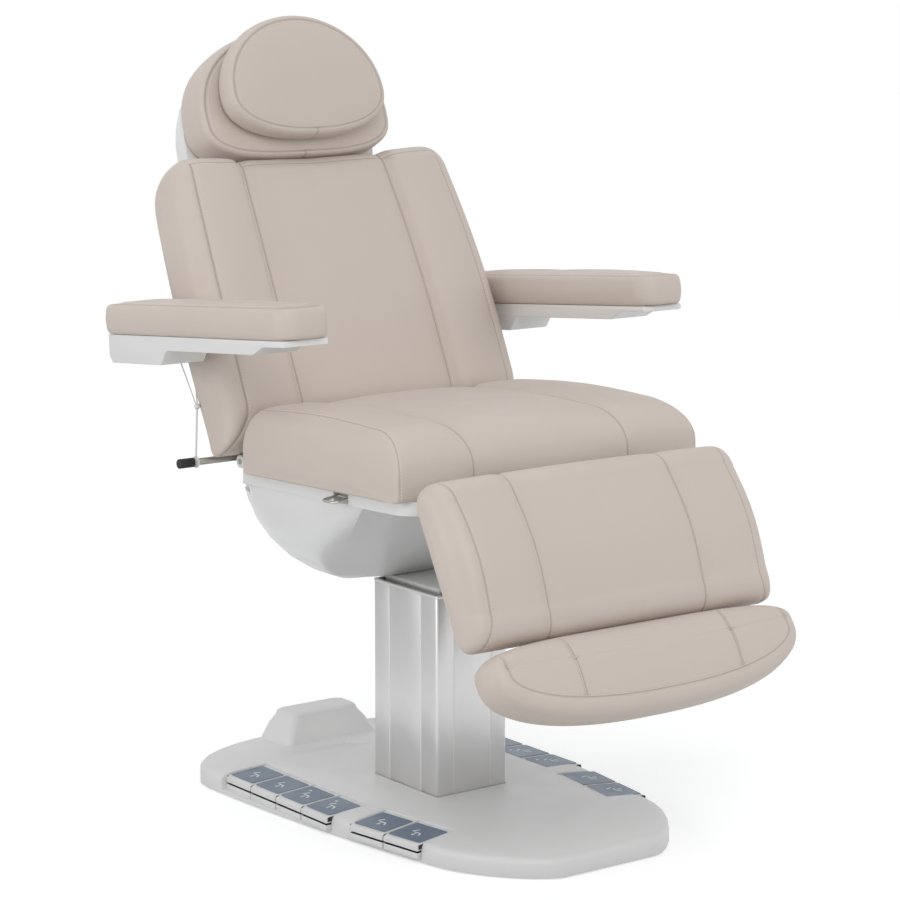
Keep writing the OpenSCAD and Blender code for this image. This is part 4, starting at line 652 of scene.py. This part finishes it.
# The mesh is cut along these seams first, so that the valley stays even. Gives the lines to stitch.
def crossSeams(obj, v, seamRing):
    c, matrix = crossValues, v["matrix"]
    seamZ = float(seamRing[:, 2].min())
    lower = seamRing[seamRing[:, 1] < v["mid"]]
    cuts = [(sign * x, v["crossDepth"], "face") for x in v["cross"] for sign in (-1, 1)]
    if "openAt" in v:
        edge = float(np.abs(seamRing[:, 0]).max())
        cuts += [(sign * edge, v["depth"], "side") for sign in (-1, 1)]
    if "notch" in v:
        cuts.append((0.0, v["notch"], "rim"))
    if not cuts:
        return []

    def startAt(x, kind):
        if kind == "side":
            return v["openAt"] + c["past"]
        return lower[int(np.argmin(np.abs(lower[:, 0] - x)))][1]

    work = bmesh.new()
    work.from_mesh(obj.data)
    bmesh.ops.transform(work, matrix=matrix.inverted(), verts=work.verts)
    for x, depth, kind in cuts:
        for step in (0.0, *seamSteps, -c["reach"], c["reach"]):
            bmesh.ops.bisect_plane(work, geom=work.verts[:] + work.edges[:] + work.faces[:], dist=1e-6,
                                   plane_co=(x + step, 0, 0), plane_no=(1, 0, 0))
    work.normal_update()
    # The crease layer holds painted shade, darker along each seam.
    dark = work.verts.layers.float["crease"]
    lines, moves = [], []
    for x, depth, kind in cuts:
        for w in work.verts:
            e = abs(w.co.x - x)
            if e > c["reach"] + 0.0001:
                continue
            if kind == "rim":
                low = w.co.y < v["mid"] and c["rimFrom"] < w.co.z < seamZ + c["rimPast"]
                share = 1.0 if low else 0.0
            else:
                share = min(1, max(0, (w.co.z - seamZ + c["reach"]) / c["reach"]))
                share *= min(1, max(0, w.normal.z + 0.1) * 4)
                share *= min(1, max(0, (w.co.y - startAt(w.co.x, kind)) / c["fade"]))
            if share > 0:
                deep = groove(np.array(e), depth, c["wide"], sewing["padSharp"])
                moves.append((w, w.normal.copy(), float(deep) * share))
                w[dark] = min(1, w[dark] + float(seamShade(e)) * share)
        if kind == "rim":
            continue
        at = x + math.copysign(c["beside"], x) * (-1 if kind == "side" else 1)
        past = c["start"] if kind == "face" else 0
        line = sorted([(w.co.y, w.co.copy(), w.normal.copy()) for w in work.verts
                       if abs(w.co.x - at) < 2e-5 and w.co.z > seamZ - c["reach"]
                       and w.normal.z > c["facing"] and w.co.y > startAt(w.co.x, kind) + past],
                      key=lambda q: q[0])
        if len(line) > 4:
            lines.append((np.array([q[1] for q in line]), np.array([q[2] for q in line])))
    for w, normal, depth in moves:
        w.co -= normal * depth
    bmesh.ops.transform(work, matrix=matrix, verts=work.verts)
    work.to_mesh(obj.data)
    work.free()
    for polygon in obj.data.polygons:
        polygon.use_smooth = True
    obj.data.update()
    return lines


# The fine cover as a piece that stands for its CAD solid.
def finishCover(v, rings, crease):
    obj = meshFromRings(v["name"], rings)
    # The crease attribute carries painted shade along the seams into the vinyl's colour.
    marks = obj.data.attributes.new("crease", "FLOAT", "POINT")
    marks.data.foreach_set("value", np.concatenate([crease.ravel(), [0, 0]]).astype(np.float32))
    obj.data.transform(v["matrix"])
    pick(obj)
    bpy.ops.object.shade_smooth()
    dressed(obj, "vinyl", bodyOf[v["node"]])
    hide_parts(v["node"])
    return obj


# The movement of a block's two ends without its changes round the ring.
def evenSides(move, coarse):
    calm = move.copy()
    for rows in (coarse < 0, coarse > 0):
        calm[rows] = move[rows].mean(1, keepdims=True) * [1, 0, 0]
    return calm


# Shares of the ring, even but for closer ones beside the seam over the high edge.
def blockShares(v):
    count = v["coarsePoints"] * 3
    shares = np.arange(count) / count
    if v["highSeam"]:
        near = v["highShare"] + np.array([0.0, *seamSteps]) / v["perimeter"]
        shares = shares[np.abs(shares - v["highShare"]) > v["highClear"] / v["perimeter"]]
        shares = np.sort(np.concatenate([shares, near]))
    return shares


def makeBlock(v):
    c, edge = coverValues, v["seams"][-1]
    coarse, fine = blockStations(v, c["coarse"], ()), blockStations(v, c["fine"], seamSteps)
    rough = blockRings(v, coarse, blockOutline(v, v["coarsePoints"]))
    held = rough[:, :, 2] < c["held"]
    for s in v["seams"]:
        held |= (np.abs(np.abs(coarse) - s) < c["seamHeld"])[:, None]
    move = puffed(v["name"], rough, held, v["cap"])
    past = np.abs(coarse) - v["half"] + v["side"] * (1 - math.pi / 2)
    inner = np.clip((past - v["calmFrom"]) / v["calmOver"], 0, 1)[:, None, None]
    move = move * (1 - inner) + inner * evenSides(move, coarse)
    shares = blockShares(v)
    rings = blockRings(v, fine, blockOutline(v, len(shares), shares))
    rings = rings + spread(move, coarse, fine, v["coarsePoints"], shares)
    normals = outwards(rings)
    before = np.ones(len(shares))  # one up to the seam over the high edge, none after it
    highAway = (shares - v["highShare"]) * v["perimeter"]
    if v["highSeam"]:
        before = 1 - np.clip(-highAway / v["seamFade"] + 0.5, 0, 1)
    upper = np.clip((rings[:, :, 2] - v["seamUp"]) / v["seamOver"], 0, 1)
    # deep is the seams' valley, and shadeMark is the painted shade along them.
    deep, shadeMark = np.zeros(rings.shape[:2]), np.zeros(rings.shape[:2])
    for s, depth, wide in zip(v["seams"], v["depths"], v["widths"]):
        d = (np.abs(fine) - s)[:, None]
        seen = upper * before if s == edge else upper
        deep += groove(d, depth, wide, sewing["sharp"]) * seen
        shadeMark += seamShade(d) * seen
    if v["highSeam"]:
        d = highAway[None, :]
        seen = np.clip((edge + 0.001 - np.abs(fine)) / v["seamFade"], 0, 1)[:, None]
        deep += groove(d, v["depths"][-1], v["widths"][-1], sewing["sharp"]) * seen
        shadeMark += seamShade(d) * seen
    rings = rings - normals * deep[:, :, None]
    finishCover(v, rings, np.clip(shadeMark, 0, 1))
    lines = []
    for s, side in zip(v["seams"], (1, -1)):
        for sign in (-1, 1):
            at = sign * (s + side * sewing["beside"])
            row = int(np.argmin(np.abs(fine - at)))
            ahead = min(row + 1, len(fine) - 1)
            share = (at - fine[row]) / (fine[ahead] - fine[row] + 1e-12)
            line = rings[row] * (1 - share) + rings[ahead] * share
            shown = (line[:, 2] > v["stitchUp"]) & ((before > 0.5) | (s != edge))
            lines.append(shownPart(line, normals[row], shown))
    if v["highSeam"]:
        column = int(np.argmin(np.abs(shares - v["highShare"] - sewing["beside"] / v["perimeter"])))
        across = np.abs(fine) < edge
        lines.append((rings[across, column], normals[across, column]))
    stitchesOn(v, lines)


def makePad(v):
    c = coverValues
    path, seamAt = padPath(v)
    size = v["half"] * c["faceRun"]
    step = np.hypot(np.diff(path[:, 0]) + np.diff(path[:, 2]) * size, np.diff(path[:, 1]))
    run = np.concatenate([[0], np.cumsum(np.maximum(step, 1e-5))])
    seam, end = run[seamAt], run[-1]
    coarse = np.unique(np.round(padStations(seam, end, c["coarse"], c["coarse"], 6), 6))
    fine = padStations(seam, end, c["fine"], c["faceFine"], 12)
    fine = fine[np.abs(fine - seam) > c["padClear"]]
    fine = np.unique(np.round(np.concatenate([fine, [seam], seam + np.array(seamSteps), [end]]), 6))
    fine = fine[(fine >= 0) & (fine <= end)]
    coarseN, fineN = v["coarsePoints"], v["coarsePoints"] * v["finer"]
    rough = padRings(v, coarse, padOutline(v, coarseN), path, run)
    sewn = (np.abs(coarse - seam) < c["seamHeld"])[:, None] & (rough[:, :, 1] < v.get("openAt", 1))
    move = puffed(v["name"], rough, (rough[:, :, 2] < c["padHeld"]) | sewn, v["cap"])
    for _ in range(v["calm"]):
        move = (np.roll(move, 1, 1) + 2 * move + np.roll(move, -1, 1)) / 4
    rings = padRings(v, fine, padOutline(v, fineN), path, run)
    rings = rings + spread(move, coarse, fine, coarseN, np.arange(fineN) / fineN)
    normals = outwards(rings)
    d = (fine - seam)[:, None]
    shown = np.ones(rings.shape[:2])
    if "openAt" in v:
        shown = 1 - np.clip((rings[:, :, 1] - v["openAt"]) / c["openFade"], 0, 1)
    deep = groove(d, v["depth"], c["padWide"], sewing["padSharp"]) * shown
    rings = rings - normals * deep[:, :, None]
    row = int(np.argmin(np.abs(fine - (seam + sewing["beside"]))))
    seen = shown[row] > 0.5
    loop, side = shownPart(rings[row], normals[row], seen)
    if seen.all():
        loop, side = np.vstack([loop, loop[:1]]), np.vstack([side, side[:1]])
    # The cover's crease values are painted shade along its edge seam.
    cover = finishCover(v, rings, np.clip(seamShade(d) * shown, 0, 1))
    lines = [(loop, side)] + crossSeams(cover, v, rings[int(np.argmin(np.abs(fine - seam)))])
    stitchesOn(v, lines)


# Lift of a block's face across its width: crowned middle, low channels, raised bolsters.
def acrossOf(flat, channel, crown, rise):
    return ([0, channel * 0.5, channel - 0.016, channel, channel + 0.02, (channel + flat) / 2, flat - 0.006, flat],
            [crown, crown * 0.7, 0.0005, -0.0015, rise * 0.75, rise, rise * 0.7, rise * 0.45])


# What the three blocks share. Each one's own values come after it and win.
blockBase = {
    "side": 0.033, "small": 0.007, "rearRound": 0.007, "highCorner": 0.0, "crown": 0.006, "channel": 0.153,
    "rise": 0.005, "dip": 0.0, "taper": 0.0, "swell": 0.003, "cap": 0.006, "calmFrom": 0.012, "calmOver": 0.03,
    "highSeam": False, "highClear": 0.0085, "seamUp": 0.004, "seamOver": 0.012, "seamFade": 0.003,
    "stitchUp": 0.006, "fill": 0.9,
}
blocks = [
    {"name": "seatCushionCover", "node": "seat_cushion", "matrix": leaning((0, 0, 0.5), -2.1, 0.075),
     "low": -0.303, "high": 0.155, "half": 0.297, "thick": 0.104, "corner": 0.022, "lowRound": 0.062,
     "lowReach": 0.098, "lowCorner": 0.022, "cornerReach": 0.07, "highRound": 0.060,
     "seams": (0.153, 0.273), "depths": (0.0034, 0.0016), "widths": (0.011, 0.005), "coarsePoints": 96},
    {"name": "backCushionCover", "node": "back_cushion", "matrix": leaning((0, 0.135, 0.605), 63.1, -0.083),
     "low": 0.017, "high": 0.522, "half": 0.300, "thick": 0.083, "corner": 0.033, "lowRound": 0.062,
     "lowReach": 0.075, "lowCorner": 0.026, "cornerReach": 0.05, "highRound": 0.034, "rearRound": 0.040,
     "rise": 0.013, "dip": 0.012, "taper": 0.022, "highSeam": True,
     "seams": (0.153, 0.267), "depths": (0.0046, 0.0016), "widths": (0.013, 0.005), "coarsePoints": 100},
    {"name": "calfCushionCover", "node": "calf_cushion", "matrix": leaning((0, -0.501, 0.417), 61.75, -0.052),
     "low": -0.012, "high": 0.255, "half": 0.300, "thick": 0.052, "corner": 0.026, "lowRound": 0.034,
     "lowReach": 0.046, "lowCorner": 0.012, "highCorner": 0.006, "cornerReach": 0.042, "highRound": 0.040,
     "crown": 0.012, "cap": 0.005,
     "seams": (0.153, 0.265), "depths": (0.0028, 0.0016), "widths": (0.009, 0.005), "coarsePoints": 60},
]
for block in blocks:
    v = {**blockBase, **block}
    v["across"] = acrossOf(v["half"] - v["side"], v["channel"], v["crown"], v["rise"])
    makeBlock(v)

# What the pads share. notch is the depth of the short seam down the rim, openAt is where the edge seam ends.
padBase = {"side": 0.009, "small": 0.007, "swell": 0.002, "crown": 0.009, "crownEase": 1, "cap": 0.004,
           "depth": 0.0015, "cross": (), "calm": 0, "finer": 3, "fill": 0.9}
pads = [
    {"name": "headCushionCover", "node": "head_cushion", "matrix": leaning((0, 0.382, 1.053), 68, -0.074),
     "half": 0.191, "low": 0.003, "mid": 0.082, "high": 0.232, "powers": (3.2, 2.05), "thick": 0.074,
     "notch": 0.0016, "coarsePoints": 96},
    {"name": "headPillowCover", "node": "head_pillow", "matrix": leaning((0, 0.382, 1.053), 68, 0.009),
     "half": 0.158, "low": 0.027, "mid": 0.104, "high": 0.240, "powers": (2.3, 2.0), "thick": 0.042,
     "notch": 0.0016, "coarsePoints": 84, "fill": 0.8},
    {"name": "footCushionCover", "node": "foot_cushion", "matrix": leaning((0, -0.577, 0.328), 55.2, -0.070),
     "half": 0.298, "low": -0.036, "mid": 0.054, "high": 0.103, "powers": (2.35, 4.0), "thick": 0.070,
     "side": 0.024, "small": 0.016, "depth": 0.0016, "cross": (0.153,), "crossDepth": 0.0026,
     "openAt": 0.055, "calm": 8, "crownEase": 1.6, "coarsePoints": 140, "finer": 4},
]
for side, word in ((-1, "right"), (1, "left")):
    pads.append({"name": word + "ArmPadCover", "node": "arm_pad_" + word,
                 "matrix": leaning((side * 0.356, 0.299598, 0.761460), -5, 0.024),
                 "half": 0.046, "low": -0.458, "mid": -0.178, "high": 0.102, "round": 0.034, "thick": 0.050,
                 "crown": 0.007, "cap": 0.003, "depth": 0.0013, "coarsePoints": 108})
for pad in pads:
    makePad({**padBase, **pad})
stage("upholstery")


# rigid pieces
def soften(obj, width, segments=1, limit="ANGLE", angle=30):
    pick(obj)
    soft = obj.modifiers.new("edges", "BEVEL")
    soft.width, soft.segments = width, segments
    soft.limit_method, soft.angle_limit = limit, math.radians(angle)
    soft.use_clamp_overlap = True
    bpy.ops.object.modifier_apply(modifier="edges")


# A copy of a CAD piece with merged points, softened edges and smooth shading. The bowl keeps all its
# faces, because it is sharpened point by point.
def refined(node, bevel):
    v = refineValues
    mesh = frame["nodes"][node].data.copy()
    first, *words = node.split("_")
    obj = bpy.data.objects.new(first + "".join(w.capitalize() for w in words) + "Piece", mesh)
    scene.collection.objects.link(obj)
    pick(obj)
    bpy.ops.object.mode_set(mode="EDIT")
    bpy.ops.mesh.select_all(action="SELECT")
    bpy.ops.mesh.remove_doubles(threshold=v["merge"])
    if node != "seat_shell":
        bpy.ops.mesh.dissolve_limited(angle_limit=math.radians(v["flat"]))
    bpy.ops.object.mode_set(mode="OBJECT")
    if node == "seat_shell":
        sharpenBowl(obj.data)
    soften(obj, bevel, segments=2, angle=v["angle"])
    smooth = v["bowlSmooth"] if node == "seat_shell" else v["smooth"]
    bpy.ops.object.shade_smooth_by_angle(angle=math.radians(smooth))
    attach(obj, bodyOf[node])
    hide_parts(node)


# from to high say which points of the bowl move, rimCorner to rimSlack which points of its rim.
bowlValues = {"from": 0.5, "edge": 0.998, "power": 0.42, "middle": 0.02, "soft": 0.06,
              "low": 0.386, "high": 0.5605, "upper": ((0.530, 0.2745), (0.545, 0.2765), (0.570, 0.278)),
              "rimCorner": (0.236, 0.123), "rimWas": 0.045, "rimNow": 0.012, "rimFrom": 0.546,
              "rimNear": 0.0016, "rimSlack": 0.0012}


# The bowl's front corners are brought out to the side, so that the sloping face ends in a sharp line,
# and the rim's rear corners are made tighter.
def sharpenBowl(mesh):
    v = bowlValues
    co = np.zeros(len(mesh.vertices) * 3)
    mesh.vertices.foreach_get("co", co)
    co = co.reshape(-1, 3)
    widths = []
    for z in np.unique(np.round(co[:, 2], 4)):
        level = np.abs(co[:, 2] - z) < 1e-4
        if np.sum(level & (np.abs(co[:, 1]) < 0.1)) > 4:
            widths.append((z, np.abs(co[level, 0]).max()))
    zs, ws = np.array([*widths, *v["upper"]]).T
    w = np.interp(co[:, 2], zs, np.maximum.accumulate(ws))
    u = np.abs(co[:, 0]) / w
    far = v["from"] + (1 - v["from"]) * np.clip((u - v["from"]) / (1 - v["from"]), 0, 1) ** v["power"]
    part = np.clip((v["middle"] - co[:, 1]) / v["soft"], 0, 1) * (u > v["from"]) * (u < v["edge"])
    part *= (co[:, 2] > v["low"]) * (co[:, 2] < v["high"])
    co[:, 0] = np.sign(co[:, 0]) * w * (u + (far - u) * part)
    corner = np.array(v["rimCorner"])
    off = np.stack([np.abs(co[:, 0]), co[:, 1]], 1) - corner
    away = np.linalg.norm(off, axis=1)
    rim = (np.abs(away - v["rimWas"]) < v["rimNear"]) & (off.min(1) > -v["rimSlack"])
    rim &= co[:, 2] > v["rimFrom"]
    square = corner + (v["rimWas"] - v["rimNow"]) + off[rim] / away[rim, None] * v["rimNow"]
    co[rim, 0] = np.sign(co[rim, 0]) * square[:, 0]
    co[rim, 1] = square[:, 1]
    mesh.vertices.foreach_set("co", co.ravel())
    mesh.update()


refineValues = {
    "merge": 0.00002, "flat": 0.6, "angle": 32, "smooth": 38, "bowlSmooth": 24, "pedal": 0.0007,
    "bevels": {
        "base_cover": 0.0012, "seat_shell": 0.0008, "head_shell": 0.0012, "arm_shell_right": 0.003,
        "arm_shell_left": 0.003, "leg_board": 0.0015, "foot_board": 0.0015, "back_cover": 0.0015,
        "column_outer": 0.0006, "column_trim": 0.0008, "mains_inlet": 0.0006, "cover_cap": 0.001,
        "swivel_head": 0.0008, "arm_brackets": 0.001, "back_hinge_brackets": 0.001, "bar_caps": 0.0012,
        "paper_bar": 0.0006, "pedal_blocks": 0.0008, "base_plate": 0.0006, "release_lever": 0.0002,
    },
}
for node, bevel in refineValues["bevels"].items():
    refined(node, bevel)
for node in frame["nodes"]:
    if node.startswith(("pedal_right_", "pedal_left_")):
        refined(node, refineValues["pedal"])


# Faces that look a given way get black plastic, darker than the rest of the piece: painted shade on the pedal
# block's top in the gaps, and under the pedals.
def paintShadeOnFaces(name, way):
    obj = bpy.data.objects[name]
    obj.data.materials.append(finishes["black_plastic"])
    for polygon in obj.data.polygons:
        if polygon.normal.z * way > 0.7:
            polygon.material_index = 1


# Painted shade: the block's upward faces between the pedals and the pedals' undersides are made black.
paintShadeOnFaces("pedalBlocksPiece", 1)
for word in ("Right", "Left"):
    for i in range(6):
        paintShadeOnFaces(f"pedal{word}{i + 1}Piece", -1)
stage("rigid pieces")

# Two groups on each side: pitch, start, line and count hold the rear group's value and then the front
# group's. topIn and fall give the height of the pedals' faces, from and to the length of the films.
pedalValues = {
    "pitch": (0.0755, 0.0795), "start": (0.250, -0.090), "line": (0.183, 0.175), "count": (4, 2), "turn": 8.0,
    "topIn": 0.0365, "fall": 0.0561, "slit": 0.0015,
    "from": 0.010, "to": 0.0735, "rim": 0.0028, "filmUp": 0.0008, "film": 0.0005, "filmRound": 0.003,
    # The shade values place the dark strips of painted shade that fill the slits.
    "sealWide": 0.0026, "sealSlack": 0.0002, "sealFrom": 0.003, "sealTo": 0.0785, "sealDeep": 0.007,
    "sealDown": 0.0016, "sealSoft": 0.0003,
}


# Where something lies on the pedals of a group: its way along them, its place across and its height.
def onPedals(side, front, along, across, up):
    p = pedalValues
    spot = Matrix.Translation((p["line"][front], p["start"][front], 0))
    if front:
        spot = spot @ Matrix.Rotation(math.radians(-p["turn"]), 4, "Z")
    if side < 0:
        spot = Matrix.Scale(-1, 4, (1, 0, 0)) @ spot
    spot = spot @ Matrix.Translation((along, across, p["topIn"] - p["fall"] * along + up))
    return spot @ Matrix.Rotation(math.atan(p["fall"]), 4, "Y")


# The primitive just added, pressed to its size and turned, with its place in its mesh.
def pressed(scale, turn):
    o = bpy.context.object
    o.scale = scale
    o.rotation_euler = (0, 0, math.radians(turn))
    bpy.ops.object.transform_apply(location=True, rotation=True, scale=True)
    return o


def slab(length, width, height, x=0.0, y=0.0, turn=0.0):
    clearSelection()
    bpy.ops.mesh.primitive_cube_add(size=1, location=(x, y, 0))
    return pressed((length, width, height), turn)


def arrowHead(x, y, turn, size, height):
    clearSelection()
    bpy.ops.mesh.primitive_cylinder_add(vertices=3, radius=size, depth=height, location=(x, y, 0))
    return pressed((1, 1, 1), turn)


def joined(parts, name):
    clearSelection()
    for o in parts:
        o.select_set(True)
    bpy.context.view_layer.objects.active = parts[0]
    bpy.ops.object.join()
    obj = bpy.context.object
    obj.name = obj.data.name = name
    return obj


# Moves a mesh, and turns its faces out again where the move mirrors it.
def moved(obj, matrix):
    obj.data.transform(matrix)
    if matrix.determinant() < 0:
        obj.data.flip_normals()


# Dark strips in the slits beside the pedals: painted shade for the shadow in the slits.
def makeSlitShade():
    p = pedalValues
    long, middle = p["sealTo"] - p["sealFrom"], (p["sealFrom"] + p["sealTo"]) / 2
    for side, word in ((-1, "right"), (1, "left")):
        strips = []
        for front, count in enumerate(p["count"]):
            for k in range(count + 1):
                wide, beside = p["sealWide"], 0
                if k in (0, count):
                    wide = p["slit"] - p["sealSlack"]
                    beside = -wide / 2 if k == 0 else wide / 2
                strip = slab(long, wide, p["sealDeep"])
                soften(strip, p["sealSoft"])
                moved(strip, onPedals(side, front, middle, -k * p["pitch"][front] + beside,
                                      -p["sealDown"] - p["sealDeep"] / 2))
                strips.append(strip)
        # The strips are painted shade, dressed black.
        dressed(joined(strips, f"pedalSlitShade_{word}"), "black_rubber", "base")


# A sign is a small side view of the chair with an arrow, seen from outside the base. Its measures are in
# units: length, width, x, y and turn of each bar, and a place for the arrow of each pair of pedals.
signValues = {
    "unit": 0.0052, "thin": 0.00025, "in": 0.002, "up": 0.00035, "arrow": 0.8, "round": 0.3,
    "bars": ((2.6, 0.5, 0.0, 0.0, 90), (2.4, 0.5, -1.2, 1.75, 25), (1.7, 0.5, 0.75, -1.7, -25),
             (1.8, 0.4, 1.6, 0.0, 0)),
    "arrows": ((2.6, 0.0), (-2.8, 3.0), (2.6, 0.0)),
}


def makeFilm(name, deep, wide):
    film = slab(deep, wide, pedalValues["film"])
    film.name = film.data.name = name
    pick(film)
    bpy.ops.object.mode_set(mode="EDIT")
    bpy.ops.mesh.select_mode(type="EDGE")
    bpy.ops.mesh.select_all(action="DESELECT")
    bpy.ops.object.mode_set(mode="OBJECT")
    for e in film.data.edges:
        a, b = [film.data.vertices[k].co for k in e.vertices]
        e.select = abs(a.x - b.x) < 1e-6 and abs(a.y - b.y) < 1e-6
    bpy.ops.object.mode_set(mode="EDIT")
    bpy.ops.mesh.bevel(offset=pedalValues["filmRound"], segments=5, affect="EDGES")
    bpy.ops.object.mode_set(mode="OBJECT")
    return film


def makeSign(name, i):
    v = signValues
    s, marks = v["unit"], []
    for length, width, x, y, turn in v["bars"]:
        marks.append(slab(length * s, width * s, v["thin"], x * s, y * s, turn))
        soften(marks[-1], min(length * s, width * s) * v["round"], segments=3, limit="NONE")
    x, y = v["arrows"][i // 2]
    marks.append(arrowHead(x * s - v["arrow"] * s, y * s, 0 if i % 2 else 180, v["arrow"] * s, v["thin"]))
    return joined(marks, name)


def makeLabels():
    p = pedalValues
    for side, word in ((-1, "right"), (1, "left")):
        for i in range(6):
            front, k = (1, i - 4) if i > 3 else (0, i)
            pitch = p["pitch"][front]
            body = f"pedal_{word}_{i + 1}_key"
            spot = onPedals(side, front, (p["from"] + p["to"]) / 2, -(k + 1) * pitch + pitch / 2, p["filmUp"])
            wide = pitch - 2 * p["slit"] - 2 * p["rim"]
            film = makeFilm(f"pedalLabel_{word}_{i + 1}", p["to"] - p["from"], wide)
            moved(film, spot)
            dressed(film, "label", body)
            sign = makeSign(f"pedalSign_{word}_{i + 1}", i)
            moved(sign, spot @ Matrix.Translation((signValues["in"], 0, signValues["up"])))
            dressed(sign, "print", body)


makeSlitShade()
makeLabels()
stage("pedal labels")
